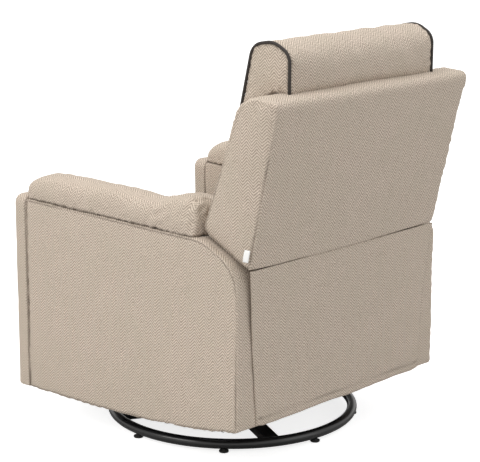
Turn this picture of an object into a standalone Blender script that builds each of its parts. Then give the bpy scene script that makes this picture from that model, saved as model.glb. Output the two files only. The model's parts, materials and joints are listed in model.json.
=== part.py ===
"""Swivel glider nursery recliner.

+Z is up, -Y is the front, +X is the sitter's left. The origin is on the floor
under the middle of the chair. Every object keeps its place at rest, and each
moving group hangs on an empty that sits on its joint's axis.
"""

import math

import bmesh
import bpy
from mathutils import Matrix, Vector

# ---------------------------------------------------------------- clearances
GAP = 0.0003            # between pieces that touch
CUT_PAST = 0.01
CUT_LONG = 0.1
BOLT_SLACK = 0.001
PIN_SINK = 0.0005
LAYER_LAP = 0.001
STUD_REACH = 0.004
RACE_LIP = 0.004
LIP_WALL = 0.003
HEADREST_SEAT = 0.003
ARCH_POWER = 0.7
RUN_CLEARANCE = 0.0003  # radial, pin in its hole
OPEN_CLEARANCE = 0.0012  # radial, at the two pivots where a closed linkage is opened

# ------------------------------------------------------------ overall sizes
CHAIR_WIDTH = 0.750
ARM_THICKNESS = 0.095
ARM_FRONT_Y = -0.431
ARM_REAR_Y = 0.329
ARM_TOP_FRONT_Z = 0.566
ARM_TOP_REAR_Z = 0.5555
HEM_FRONT_Z = 0.0745
HEM_REAR_Z = 0.118
HEM_CURVE = 3.0         # power of the hem's rise towards the rear
ARM_WALL = 0.018
FASCIA_DEPTH = 0.047
FASCIA_CROWN = 0.009
PAD_CROWN = 0.070
PAD_REAR_GAP = 0.001    # from the pad to the backrest's lower front corner

# --------------------------------------------------------------- backrest
BACK_MARGIN = 0.052
BACK_WIDTH = CHAIR_WIDTH - BACK_MARGIN
BACK_SEAM_Y = 0.343     # rear bottom seam of the backrest
BACK_SEAM_Z = 0.497
BACK_LEAN = math.radians(12.7)
BACK_HEIGHT = 0.400     # along the rear panel
BACK_DEPTH_LOW = 0.160
BACK_DEPTH_TOP = 0.109
BACK_LOW_RISE = 0.040  # of the front lower corner, along the panel
BACK_TOP_DROP = 0.012   # of the front upper corner
BACK_PANEL = 0.008
BACK_SLOPE_GAP = 0.004  # between the backrest's lower edge and the arms
HEADREST_MARGIN = 0.166
HEADREST_WIDTH = BACK_WIDTH - HEADREST_MARGIN
HEADREST_TOP = 0.105    # above the backrest
HEADREST_FRONT = 0.179
HEADREST_REAR = 0.049
HEADREST_DROP = 0.138   # below the backrest's top, in front
PIPING_RADIUS = 0.0042
BACK_CUSHION_FRONT = 0.215
RECLINE_PIVOT_DROP = 0.160
STILE_WIDTH = 0.020
STILE_DEPTH = 0.020

# ------------------------------------------------------------------- seat
SEAT_RAIL_Z = 0.378
SEAT_RAIL_HEIGHT = 0.018
SEAT_TOP_Z = 0.500
SEAT_FRONT_Y = -0.423
SEAT_REAR_Y = 0.221
FRONT_RAIL_Y = (-0.395, -0.295)
REAR_RAIL_Y = (0.206, 0.266)
SPRING_COUNT = 3
SPRING_PITCH = 0.120
SPRING_WIRE = 0.0019
SPRING_AMPLITUDE = 0.022
SPRING_WAVES = 6
SKIRT_THICKNESS = 0.0045
SKIRT_TAPER = 0.038       # how far each side draws in towards the hem
SKIRT_SLANT = 0.0065      # how far its top stands back from its hem
SKIRT_HEM_Z = 0.118

# ------------------------------------------------------- mechanism plates
PLATE_THICKNESS = 0.004
PLATE_MARGIN = 0.030    # round the pivots

# ------------------------------------------------------------------- base
SWIVEL_Y = -0.025
RING_RADIUS = 0.3084
RING_TUBE = 0.0125
FOOT_HEIGHT = 0.008
FOOT_RADIUS = 0.012
FOOT_STEM = 0.005
FOOT_COUNT = 8
FOOT_TURN = math.radians(38.5)
CROSS_TURN = math.radians(61.0)
CROSS_WIDTH = 0.036
CROSS_HEIGHT = 0.018
CROSS_HUB = 0.075
RACE_RADIUS = 0.115
RACE_THICKNESS = 0.005
BALL_TRACK = 0.085
BALL_RADIUS = 0.006
BOLT_RADIUS = 0.008
BOLT_HEAD = 0.014
BOLT_HEAD_HEIGHT = 0.007
NUT_HEIGHT = 0.010

# ------------------------------------------------------------------ glide
GLIDE_SPREAD = 0.130    # of the hanging links, to each side of the swivel axis
GLIDE_TOP_Z = 0.310
GLIDE_LINK = 0.140
GLIDE_BAR = 0.012       # half the link's width
GLIDE_THICKNESS = 0.004
GLIDE_STUD = 0.006
CENTER_PLATE_DEPTH = 0.100
CENTER_PLATE_THICKNESS = 0.005

# --------------------------------------------------------------- footrest
FOOT_PIVOT_Y = -0.320
FOOT_PIVOT_Z = 0.360
FOOT_BAR = 0.260        # pivot to pivot
FOOT_STOWED = math.radians(85.0)
FOOT_BAR_HALF = 0.008
FOOT_BAR_THICKNESS = 0.003
FOOT_LAYER = 0.006      # from one layer of bars to the next
FOOT_STUD = 0.004
ROLLER_RADIUS = 0.005
TORQUE_TUBE = 0.009
BOARD_REAR_Y = -0.382
BOARD_THICKNESS = 0.018
BOARD_TOP_Z = 0.372
BOARD_BOTTOM_Z = 0.105
FOOT_PAD = 0.0347
FOOT_PAD_OVERHANG = 0.004

# ----------------------------------------------------------------- release
HANDLE_Y = -0.199
HANDLE_Z = 0.420
CUP_WIDTH = 0.125
CUP_HEIGHT = 0.061
CUP_DEPTH = 0.023
CUP_WALL = 0.0025
FLANGE = 0.008
FLANGE_THICKNESS = 0.003
PADDLE_LENGTH = 0.062
PADDLE_THICKNESS = 0.004
HINGE_PIN = 0.0015
CABLE_RADIUS = 0.0025
CABLE_EXIT_Z = 0.300

# ------------------------------------------------------ places that follow
ARM_OUTER = CHAIR_WIDTH / 2
ARM_INNER = ARM_OUTER - ARM_THICKNESS
ARM_PANEL_Y = ARM_FRONT_Y + FASCIA_DEPTH
PLATE_OUTER = ARM_INNER - GAP
PLATE_INNER = PLATE_OUTER - PLATE_THICKNESS
CUSHION_HALF = ARM_INNER - 0.008
SEAT_RAIL_TOP = SEAT_RAIL_Z + SEAT_RAIL_HEIGHT
RING_Z = FOOT_HEIGHT + RING_TUBE
CROSS_BOTTOM = RING_Z - CROSS_HEIGHT / 2
CROSS_TOP = CROSS_BOTTOM + CROSS_HEIGHT
LOWER_RACE_Z = CROSS_TOP + GAP
BALL_Z = LOWER_RACE_Z + RACE_THICKNESS + GAP
UPPER_RACE_Z = BALL_Z + 2 * BALL_RADIUS + GAP
CENTER_PLATE_Z = UPPER_RACE_Z + RACE_THICKNESS + GAP
CENTER_PLATE_TOP = CENTER_PLATE_Z + CENTER_PLATE_THICKNESS
GLIDE_LOW_Z = GLIDE_TOP_Z - GLIDE_LINK
GLIDE_OUTER = PLATE_INNER - 0.010
GLIDE_INNER = GLIDE_OUTER - GLIDE_THICKNESS
SIDE_OUTER = GLIDE_INNER - 0.003
SIDE_INNER = SIDE_OUTER - GLIDE_THICKNESS
STILE_OUTER = PLATE_INNER - 0.003
STILE_INNER = STILE_OUTER - STILE_WIDTH
STILE_REAR = BACK_PANEL + 0.002
CUSHION_REAR = STILE_REAR + STILE_DEPTH + 0.004


def back_point(up, forward):
    """Side-view point given along and in front of the backrest's rear panel."""
    s, c = math.sin(BACK_LEAN), math.cos(BACK_LEAN)
    return (BACK_SEAM_Y + up * s - forward * c, BACK_SEAM_Z + up * c + forward * s)


def hem_height(y):
    """Height of an arm's lower edge."""
    t = (y - ARM_PANEL_Y) / (ARM_REAR_Y - ARM_PANEL_Y)
    return HEM_FRONT_Z + (HEM_REAR_Z - HEM_FRONT_Z) * max(t, 0.0) ** HEM_CURVE


def slope_height(y):
    """Height of an arm's rear slope, which runs below the backrest's lower edge."""
    low_y, low_z = back_point(0, 0)
    top_y, top_z = back_point(BACK_LOW_RISE, BACK_DEPTH_LOW)
    grade = (top_z - low_z) / (top_y - low_y)
    drop = BACK_SLOPE_GAP * math.hypot(1, grade)
    return low_z + grade * (y - low_y) - drop


def slope_start():
    """Where the rear slope leaves the arm's top."""
    grade = (slope_height(1.0) - slope_height(0.0))
    return (ARM_TOP_REAR_Z - slope_height(0.0)) / grade


def arm_top(y):
    """Height of the arm's top panel, under the pad."""
    t = (y - ARM_PANEL_Y) / (slope_start() - ARM_PANEL_Y)
    return ARM_TOP_FRONT_Z + (ARM_TOP_REAR_Z - ARM_TOP_FRONT_Z) * t


RECLINE_PIVOT = back_point(-RECLINE_PIVOT_DROP, STILE_REAR + STILE_DEPTH / 2)
FOOT_DIP = (FOOT_BAR * math.cos(FOOT_STOWED), FOOT_BAR * math.sin(FOOT_STOWED))
PIVOT_A = (FOOT_PIVOT_Y, FOOT_PIVOT_Z)
PIVOT_B = (FOOT_PIVOT_Y, FOOT_PIVOT_Z - FOOT_DIP[1])
PIVOT_D1 = (FOOT_PIVOT_Y - FOOT_DIP[0], FOOT_PIVOT_Z - FOOT_DIP[1])
PIVOT_D2 = (FOOT_PIVOT_Y - FOOT_DIP[0], FOOT_PIVOT_Z)
PIVOT_M1 = (FOOT_PIVOT_Y - FOOT_DIP[0] / 2, FOOT_PIVOT_Z - FOOT_DIP[1] / 2)
PIVOT_M2 = (FOOT_PIVOT_Y - 1.5 * FOOT_DIP[0], FOOT_PIVOT_Z - FOOT_DIP[1] / 2)
BAR_END = (FOOT_PIVOT_Y - 2 * FOOT_DIP[0], FOOT_PIVOT_Z - FOOT_DIP[1])
LAYER_1 = PLATE_INNER - 0.005
LAYER_2 = LAYER_1 - FOOT_LAYER
LAYER_3 = LAYER_2 - FOOT_LAYER

MATERIALS = {
    "fabric": ((0.47, 0.40, 0.33), 0.95, 0.0),
    "fabric_lining": ((0.10, 0.10, 0.10), 0.95, 0.0),
    "piping": ((0.035, 0.028, 0.025), 0.7, 0.0),
    "black_steel": ((0.012, 0.012, 0.013), 0.35, 0.6),
    "zinc_steel": ((0.55, 0.56, 0.58), 0.4, 1.0),
    "rubber": ((0.02, 0.02, 0.02), 0.8, 0.0),
    "plywood": ((0.62, 0.47, 0.30), 0.7, 0.0),
    "black_plastic": ((0.02, 0.02, 0.022), 0.45, 0.0),
}


# ---------------------------------------------------------------- making
def clear_scene():
    for obj in list(bpy.data.objects):
        bpy.data.objects.remove(obj, do_unlink=True)


def make_materials():
    for name, (colour, roughness, metallic) in MATERIALS.items():
        mat = bpy.data.materials.new(name)
        mat.use_nodes = True
        shader = mat.node_tree.nodes["Principled BSDF"]
        shader.inputs["Base Color"].default_value = (*colour, 1.0)
        shader.inputs["Roughness"].default_value = roughness
        shader.inputs["Metallic"].default_value = metallic


def add_pivot(name, location, parent=None):
    """An empty on a joint's axis; the parts of that moving group hang on it."""
    empty = bpy.data.objects.new(name, None)
    empty.empty_display_size = 0.03
    bpy.context.scene.collection.objects.link(empty)
    base = Vector((0, 0, 0))
    if parent:
        empty.parent = parent
        base = Vector(parent["axis_point"])
    empty.location = Vector(location) - base
    empty["axis_point"] = tuple(location)
    return empty


def finish(obj, material, body, smooth=False):
    """Links a part, gives it its material and hangs it on its group's pivot."""
    if obj.name not in bpy.context.scene.collection.objects:
        bpy.context.scene.collection.objects.link(obj)
    obj.data.materials.append(bpy.data.materials[material])
    if smooth and obj.type == "MESH":
        obj.data.shade_smooth()
        obj.data.set_sharp_from_angle(angle=math.radians(35))
    obj.parent = body
    obj.matrix_parent_inverse = Matrix.Translation(-Vector(body["axis_point"]))
    return obj


def from_bmesh(name, bm):
    bmesh.ops.recalc_face_normals(bm, faces=bm.faces)
    mesh = bpy.data.meshes.new(name)
    bm.to_mesh(mesh)
    bm.free()
    return bpy.data.objects.new(name, mesh)


def loft(name, rings):
    """A closed solid through rings of equal count, capped at both ends."""
    bm = bmesh.new()
    loops = [[bm.verts.new(p) for p in ring] for ring in rings]
    count = len(loops[0])
    for a, b in zip(loops, loops[1:]):
        for i in range(count):
            j = (i + 1) % count
            bm.faces.new((a[i], a[j], b[j], b[i]))
    bm.faces.new(loops[0])
    bm.faces.new(loops[-1])
    return from_bmesh(name, bm)


def prism(name, outline, low, high, axis="X"):
    """An outline drawn square to an axis and extruded along it."""
    def place(p, level):
        return {"X": (level, *p), "Y": (p[0], level, p[1]), "Z": (*p, level)}[axis]

    low, high = min(low, high), max(low, high)
    return loft(name, [[place(p, level) for p in outline] for level in (low, high)])


def box(name, low, high, bevel=0.0, segments=2):
    bm = bmesh.new()
    bmesh.ops.create_cube(bm, size=1.0)
    centre = [(a + b) / 2 for a, b in zip(low, high)]
    size = [abs(b - a) for a, b in zip(low, high)]
    bmesh.ops.scale(bm, vec=size, verts=bm.verts)
    bmesh.ops.translate(bm, vec=centre, verts=bm.verts)
    if bevel:
        bmesh.ops.bevel(bm, geom=bm.edges[:], offset=bevel, segments=segments,
                        profile=0.5, affect="EDGES", clamp_overlap=True)
    return from_bmesh(name, bm)


def cylinder(name, centre, radius, length, axis="X", sides=16):
    bm = bmesh.new()
    bmesh.ops.create_cone(bm, cap_ends=True, segments=sides, radius1=radius,
                          radius2=radius, depth=length)
    turn = {"X": Matrix.Rotation(math.pi / 2, 4, "Y"), "Y": Matrix.Rotation(math.pi / 2, 4, "X"),
            "Z": Matrix.Identity(4)}[axis]
    bmesh.ops.transform(bm, matrix=Matrix.Translation(centre) @ turn, verts=bm.verts)
    return from_bmesh(name, bm)


def cross_pin(name, point, radius, inner, outer, side, sides=16):
    """A pin or a hole's cutter along X, between two distances from the middle."""
    middle = side * (inner + outer) / 2
    return cylinder(name, (middle, *point), radius, abs(outer - inner), "X", sides)


def turned(name, profile, centre_y, segments=40, solid=False):
    """A profile of radius and height turned about the swivel's axis."""
    bm = bmesh.new()
    verts = [bm.verts.new((r, 0, z)) for r, z in profile]
    edges = [bm.edges.new(pair) for pair in zip(verts, verts[1:])]
    if not solid:
        edges.append(bm.edges.new((verts[-1], verts[0])))
    bmesh.ops.spin(bm, geom=verts + edges, cent=(0, 0, 0), axis=(0, 0, 1),
                   angle=2 * math.pi, steps=segments, use_merge=True)
    bmesh.ops.remove_doubles(bm, verts=bm.verts, dist=1e-6)
    bmesh.ops.translate(bm, vec=(0, centre_y, 0), verts=bm.verts)
    return from_bmesh(name, bm)


def tube(name, points, radius, resolution=1):
    """A round wire or rod along a line of points, closed at both ends."""
    curve = bpy.data.curves.new(name, "CURVE")
    curve.dimensions = "3D"
    curve.bevel_depth = radius
    curve.bevel_resolution = resolution
    curve.use_fill_caps = True
    spline = curve.splines.new("POLY")
    spline.points.add(len(points) - 1)
    for point, place in zip(spline.points, points):
        point.co = (*place, 1.0)
    return bpy.data.objects.new(name, curve)


def helper(obj):
    bpy.context.scene.collection.objects.link(obj)
    obj.hide_render = True
    obj.display_type = "WIRE"
    return obj


def boolean(target, operation, tools):
    for tool in tools:
        helper(tool)
        mod = target.modifiers.new(operation.lower(), "BOOLEAN")
        mod.operation = operation
        mod.solver = "EXACT"
        mod.object = tool


def add(target, *tools):
    boolean(target, "UNION", tools)


def cut(target, *tools):
    boolean(target, "DIFFERENCE", tools)


# -------------------------------------------------------------- outlines
def rounded(corners, steps=4):
    """An outline from corners (a, b, radius), each rounded to its radius."""
    outline = []
    count = len(corners)
    for i, (a, b, radius) in enumerate(corners):
        here = Vector((a, b))
        before = (Vector(corners[i - 1][:2]) - here).normalized()
        after = (Vector(corners[(i + 1) % count][:2]) - here).normalized()
        if radius <= 0:
            outline.append((a, b))
            continue
        half = before.angle(after) / 2
        centre = here + (before + after).normalized() * radius / math.sin(half)
        start = here + before * radius / math.tan(half) - centre
        sweep = math.pi - 2 * half
        turn = 1 if before.x * after.y - before.y * after.x < 0 else -1
        for k in range(steps + 1):
            angle = turn * sweep * k / steps
            c, s = math.cos(angle), math.sin(angle)
            outline.append((centre.x + start.x * c - start.y * s, centre.y + start.x * s + start.y * c))
    return outline


def grown(corners, distance):
    """The same corners, each side moved outwards (inwards when negative)."""
    count = len(corners)
    middle = Vector((sum(c[0] for c in corners), sum(c[1] for c in corners))) / count
    lines = []
    for i in range(count):
        p, q = Vector(corners[i][:2]), Vector(corners[(i + 1) % count][:2])
        normal = Vector((q.y - p.y, p.x - q.x)).normalized()
        if normal.dot(middle - p) > 0:
            normal = -normal
        lines.append((p + normal * distance, q - p))
    result = []
    for i in range(count):
        (p, d), (q, e) = lines[i - 1], lines[i]
        t = ((q.x - p.x) * e.y - (q.y - p.y) * e.x) / (d.x * e.y - d.y * e.x)
        radius = max(corners[i][2] + distance, 0.0) if corners[i][2] else 0.0
        result.append((p.x + d.x * t, p.y + d.y * t, radius))
    return result


def capsule(p, q, radius, steps=5):
    """Outline of a flat bar with round ends."""
    along = math.atan2(q[1] - p[1], q[0] - p[0])
    ends = ((p, along + math.pi / 2), (q, along - math.pi / 2))
    return [(c[0] + radius * math.cos(start + math.pi * k / steps),
             c[1] + radius * math.sin(start + math.pi * k / steps))
            for c, start in ends for k in range(steps + 1)]


def in_back(corners):
    """Corners given on the backrest, as corners of the side view."""
    return [(*back_point(up, forward), radius) for up, forward, radius in corners]


def back_corners():
    return [(0, 0, 0.004), (BACK_HEIGHT, 0, 0.020),
            (BACK_HEIGHT - BACK_TOP_DROP, BACK_DEPTH_TOP, 0.065),
            (BACK_LOW_RISE, BACK_DEPTH_LOW, 0.022)]


def headrest_corners():
    top = BACK_HEIGHT + HEADREST_TOP
    return [(BACK_HEIGHT - 0.008, HEADREST_REAR - 0.004, 0.003),
            (top - 0.016, HEADREST_REAR + 0.022, 0.022),
            (top, HEADREST_REAR + 0.072, 0.022),
            (top - 0.032, HEADREST_FRONT, 0.026),
            (BACK_HEIGHT - HEADREST_DROP, HEADREST_FRONT, 0.026),
            (BACK_HEIGHT - HEADREST_DROP + 0.004, BACK_DEPTH_TOP + 0.024, 0.008)]


# ------------------------------------------------------------------- base
def make_base(body):
    ring = [(RING_RADIUS + RING_TUBE * math.cos(a), RING_Z + RING_TUBE * math.sin(a))
            for a in (2 * math.pi * k / 10 for k in range(10))]
    finish(turned("base_ring", ring, SWIVEL_Y, 56), "black_steel", body, smooth=True)
    make_cross(body)
    for k in range(FOOT_COUNT):
        angle = FOOT_TURN + 2 * math.pi * k / FOOT_COUNT
        pad = turned(f"foot_{k + 1}", [
            (0, 0), (FOOT_RADIUS - 0.001, 0), (FOOT_RADIUS, 0.001), (FOOT_RADIUS, 0.0045),
            (FOOT_STEM, 0.0055), (FOOT_STEM, FOOT_HEIGHT - GAP), (0, FOOT_HEIGHT - GAP)], 0, 14, True)
        pad.data.transform(Matrix.Translation((RING_RADIUS * math.cos(angle),
                                               SWIVEL_Y + RING_RADIUS * math.sin(angle), 0)))
        finish(pad, "rubber", body, smooth=True)
    lower = turned("lower_race", [
        (BOLT_RADIUS + BOLT_SLACK, LOWER_RACE_Z), (RACE_RADIUS, LOWER_RACE_Z),
        (RACE_RADIUS, LOWER_RACE_Z + RACE_THICKNESS + RACE_LIP),
        (RACE_RADIUS - LIP_WALL, LOWER_RACE_Z + RACE_THICKNESS + RACE_LIP),
        (RACE_RADIUS - LIP_WALL, LOWER_RACE_Z + RACE_THICKNESS),
        (BOLT_RADIUS + BOLT_SLACK, LOWER_RACE_Z + RACE_THICKNESS)], SWIVEL_Y)
    finish(lower, "zinc_steel", body, smooth=True)
    head_z = CROSS_BOTTOM - GAP
    nut_z = CENTER_PLATE_TOP + GAP
    bolt = turned("swivel_bolt", [
        (0, head_z - BOLT_HEAD_HEIGHT), (BOLT_HEAD, head_z - BOLT_HEAD_HEIGHT), (BOLT_HEAD, head_z),
        (BOLT_RADIUS, head_z), (BOLT_RADIUS, nut_z), (BOLT_HEAD, nut_z),
        (BOLT_HEAD, nut_z + NUT_HEIGHT), (0, nut_z + NUT_HEIGHT)], SWIVEL_Y, 24, True)
    finish(bolt, "zinc_steel", body, smooth=True)


def make_cross(body):
    """Four flat arms that meet in an eight-sided hub."""
    reach = math.sqrt((RING_RADIUS - RING_TUBE - GAP) ** 2 - (CROSS_WIDTH / 2) ** 2) - GAP
    outline = []
    for k in range(4):
        angle = CROSS_TURN + k * math.pi / 2
        c, s = math.cos(angle), math.sin(angle)
        for along, across in ((CROSS_HUB, -1), (reach, -1), (reach, 1), (CROSS_HUB, 1)):
            w = across * CROSS_WIDTH / 2
            outline.append((along * c - w * s, SWIVEL_Y + along * s + w * c))
    cross = prism("base_cross", outline, CROSS_BOTTOM, CROSS_TOP, "Z")
    cut(cross, cylinder("cut_cross_bolt", (0, SWIVEL_Y, RING_Z),
                        BOLT_RADIUS + BOLT_SLACK, CUT_LONG, "Z", 24))
    finish(cross, "black_steel", body)


# ----------------------------------------------------------------- swivel
def make_swivel(body):
    cage = [(BALL_TRACK + BALL_RADIUS * math.cos(a), BALL_Z + BALL_RADIUS * (1 + math.sin(a)))
            for a in (2 * math.pi * (k + 0.5) / 8 for k in range(8))]
    finish(turned("ball_cage", cage, SWIVEL_Y), "zinc_steel", body, smooth=True)
    upper = turned("upper_race", [
        (BOLT_RADIUS + BOLT_SLACK, UPPER_RACE_Z), (RACE_RADIUS - 0.012, UPPER_RACE_Z),
        (RACE_RADIUS - 0.012, UPPER_RACE_Z + RACE_THICKNESS),
        (BOLT_RADIUS + BOLT_SLACK, UPPER_RACE_Z + RACE_THICKNESS)], SWIVEL_Y)
    finish(upper, "zinc_steel", body, smooth=True)
    half = SIDE_INNER - GAP
    plate = box("glider_center_plate", (-half, SWIVEL_Y - CENTER_PLATE_DEPTH, CENTER_PLATE_Z),
                (half, SWIVEL_Y + CENTER_PLATE_DEPTH, CENTER_PLATE_TOP))
    cut(plate, cylinder("cut_center_bolt", (0, SWIVEL_Y, CENTER_PLATE_Z),
                        BOLT_RADIUS + BOLT_SLACK, CUT_LONG, "Z", 24))
    finish(plate, "black_steel", body)
    for side, name in ((1, "left"), (-1, "right")):
        wide, top = GLIDE_SPREAD + 0.030, GLIDE_TOP_Z + 0.018
        outline = rounded([
            (SWIVEL_Y - wide, CENTER_PLATE_Z, 0.006), (SWIVEL_Y + wide, CENTER_PLATE_Z, 0.006),
            (SWIVEL_Y + GLIDE_SPREAD + 0.018, top, 0.018), (SWIVEL_Y - GLIDE_SPREAD - 0.018, top, 0.018)])
        panel = prism(f"glider_side_{name}", outline, side * SIDE_INNER, side * SIDE_OUTER)
        for end, y in (("front", SWIVEL_Y - GLIDE_SPREAD), ("rear", SWIVEL_Y + GLIDE_SPREAD)):
            cut(panel, cross_pin(f"cut_glide_{end}_{name}", (y, GLIDE_TOP_Z), GLIDE_STUD + RUN_CLEARANCE,
                                 SIDE_INNER - CUT_PAST, SIDE_OUTER + CUT_PAST, side))
        finish(panel, "black_steel", body)


def make_glide_links(body, end, y):
    """A pair of hanging links, with a stud inwards at the top and outwards at the foot."""
    for side, name in ((1, "left"), (-1, "right")):
        outline = capsule((y, GLIDE_TOP_Z), (y, GLIDE_LOW_Z), GLIDE_BAR)
        link = prism(f"{end}_link_{name}", outline, side * GLIDE_INNER, side * GLIDE_OUTER)
        add(link,
            cross_pin(f"stud_top_{end}_{name}", (y, GLIDE_TOP_Z), GLIDE_STUD,
                      SIDE_INNER - 0.002, GLIDE_OUTER - 0.001, side),
            cross_pin(f"stud_low_{end}_{name}", (y, GLIDE_LOW_Z), GLIDE_STUD,
                      GLIDE_INNER + 0.001, PLATE_OUTER - PIN_SINK, side))
        finish(link, "black_steel", body)


# ------------------------------------------------------------ chair frame
def make_mechanism_plates(body):
    front, rear = SWIVEL_Y - GLIDE_SPREAD, SWIVEL_Y + GLIDE_SPREAD
    low = PIVOT_B[1] - ROLLER_RADIUS - 0.012
    step = GLIDE_LOW_Z - PLATE_MARGIN
    end = RECLINE_PIVOT[0] + PLATE_MARGIN
    outline = rounded([
        (FOOT_PIVOT_Y - PLATE_MARGIN, low, 0.010), (FOOT_PIVOT_Y + PLATE_MARGIN, low, 0.010),
        (FOOT_PIVOT_Y + PLATE_MARGIN + 0.02, step, 0.010), (rear + PLATE_MARGIN, step, 0.020),
        (end, RECLINE_PIVOT[1] - PLATE_MARGIN, 0.020), (end, SEAT_RAIL_Z - GAP, 0.006),
        (FOOT_PIVOT_Y - PLATE_MARGIN, SEAT_RAIL_Z - GAP, 0.006)])
    slot_top = FOOT_PIVOT_Z - FOOT_BAR * math.sin(math.radians(6.0))
    for side, name in ((1, "left"), (-1, "right")):
        plate = prism(f"mechanism_plate_{name}", outline, side * PLATE_INNER, side * PLATE_OUTER)
        holes = (("pivot", PIVOT_A, FOOT_STUD + RUN_CLEARANCE),
                 ("glide_rear", (rear, GLIDE_LOW_Z), GLIDE_STUD + RUN_CLEARANCE),
                 ("glide_front", (front, GLIDE_LOW_Z), GLIDE_STUD + OPEN_CLEARANCE),
                 ("recline", RECLINE_PIVOT, ROLLER_RADIUS + RUN_CLEARANCE))
        for label, point, radius in holes:
            cut(plate, cross_pin(f"cut_{label}_{name}", point, radius,
                                 PLATE_INNER - CUT_PAST, PLATE_OUTER + CUT_PAST, side))
        slot = capsule((FOOT_PIVOT_Y, PIVOT_B[1] - PIN_SINK), (FOOT_PIVOT_Y, slot_top + PIN_SINK),
                       ROLLER_RADIUS + 0.0010)
        cut(plate, prism(f"cut_slot_{name}", slot,
                         side * (PLATE_INNER - CUT_PAST), side * (PLATE_OUTER + CUT_PAST)))
        finish(plate, "black_steel", body)


def make_seat(body):
    half = ARM_INNER - 2 * GAP
    for name, (front, rear) in (("front", FRONT_RAIL_Y), ("rear", REAR_RAIL_Y)):
        rail = box(f"seat_rail_{name}", (-half, front, SEAT_RAIL_Z), (half, rear, SEAT_RAIL_TOP), 0.0015, 1)
        finish(rail, "plywood", body)
    start, stop = FRONT_RAIL_Y[1] + GAP, REAR_RAIL_Y[0] - GAP
    steps, lead, height = 8 * SPRING_WAVES, 0.006, SEAT_RAIL_Z + SEAT_RAIL_HEIGHT / 2
    for k in range(SPRING_COUNT):
        centre = (k - (SPRING_COUNT - 1) / 2) * SPRING_PITCH
        points = [(centre, start, height)]
        for i in range(steps + 1):
            t = i / steps
            fade = min(1.0, 8 * t, 8 * (1 - t))
            points.append((centre + fade * SPRING_AMPLITUDE * math.sin(2 * math.pi * SPRING_WAVES * t),
                           start + lead + (stop - start - 2 * lead) * t, height))
        points.append((centre, stop, height))
        finish(tube(f"seat_spring_{k + 1}", points, SPRING_WIRE), "zinc_steel", body)
    cushion = box("seat_cushion", (-CUSHION_HALF, SEAT_FRONT_Y, SEAT_RAIL_TOP + GAP),
                  (CUSHION_HALF, SEAT_REAR_Y, SEAT_TOP_Z), 0.030, 3)
    finish(cushion, "fabric", body, smooth=True)


def make_skirt(body):
    """The flap below the backrest, narrower at its hem and slanted back at its top."""
    rear = ARM_REAR_Y + 0.0005
    top = BACK_SEAM_Z - 0.0055
    rings = []
    for half, y, z in ((BACK_WIDTH / 2 - SKIRT_TAPER, rear, SKIRT_HEM_Z),
                       (BACK_WIDTH / 2, rear + SKIRT_SLANT, top)):
        back_y = y + SKIRT_THICKNESS
        rings.append([(-half, y, z), (half, y, z), (half, back_y, z), (-half, back_y, z)])
    finish(loft("rear_skirt", rings), "fabric", body)


# -------------------------------------------------------------------- arms
def arm_outline():
    steps = 8
    outline = []
    for k in range(steps + 1):
        y = ARM_PANEL_Y + (ARM_REAR_Y - ARM_PANEL_Y) * k / steps
        outline.append((y, hem_height(y)))
    outline += [(ARM_REAR_Y, slope_height(ARM_REAR_Y)), (slope_start(), ARM_TOP_REAR_Z),
                (ARM_PANEL_Y, ARM_TOP_FRONT_Z)]
    return outline


def arm_hollow():
    """The space inside an arm, open below."""
    rear = ARM_REAR_Y - ARM_WALL
    corners = [(ARM_PANEL_Y, 0.0, 0), (ARM_REAR_Y, 0.0, 0), (ARM_REAR_Y, slope_height(ARM_REAR_Y), 0),
               (slope_start(), ARM_TOP_REAR_Z, 0), (ARM_PANEL_Y, ARM_TOP_FRONT_Z, 0)]
    inner = [(a, b) for a, b, _ in grown(corners, -ARM_WALL)]
    return [(ARM_PANEL_Y + ARM_WALL, 0.0), (rear, 0.0)] + inner[2:]


def make_arm(body, side, name):
    shell = prism(f"arm_shell_{name}", arm_outline(), side * ARM_INNER, side * ARM_OUTER)
    cut(shell, prism(f"cut_arm_{name}", arm_hollow(), side * (ARM_INNER + ARM_WALL),
                     side * (ARM_OUTER - ARM_WALL)))
    if side < 0:
        cut_release_holes(shell)
    finish(shell, "fabric", body)
    make_fascia(body, side, name)
    make_arm_pad(body, side, name)


def arch(low, crown, inner, outer, steps=8):
    """A round-topped cross-section between two distances from the middle."""
    middle, half = (inner + outer) / 2, abs(outer - inner) / 2
    points = [(middle + half, low), ]
    for k in range(steps + 1):
        angle = math.pi * k / steps
        x = math.copysign(abs(math.cos(angle)) ** ARCH_POWER, math.cos(angle))
        points.append((middle + half * x, low + 0.004 + crown * math.sin(angle) ** ARCH_POWER))
    points.append((middle - half, low))
    return points


def make_fascia(body, side, name):
    """The padded strip round an arm's front edge."""
    inner, outer = side * ARM_INNER, side * ARM_OUTER
    outline = [(x, z if z > ARM_TOP_FRONT_Z - 0.02 else HEM_FRONT_Z)
               for x, z in arch(ARM_TOP_FRONT_Z - 0.03, FASCIA_CROWN + 0.026, inner, outer)]
    middle, half = (inner + outer) / 2, ARM_THICKNESS / 2
    rings = []
    for y, draw in ((ARM_FRONT_Y, 0.84), (ARM_FRONT_Y + 0.006, 0.95), (ARM_FRONT_Y + 0.020, 1.0),
                    (ARM_PANEL_Y - GAP, 1.0)):
        shrink = half * (1 - draw)
        rings.append([(middle + (x - middle) * draw, y, z - shrink * (z > HEM_FRONT_Z)) for x, z in outline])
    finish(loft(f"arm_front_{name}", rings), "fabric", body, smooth=True)


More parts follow.
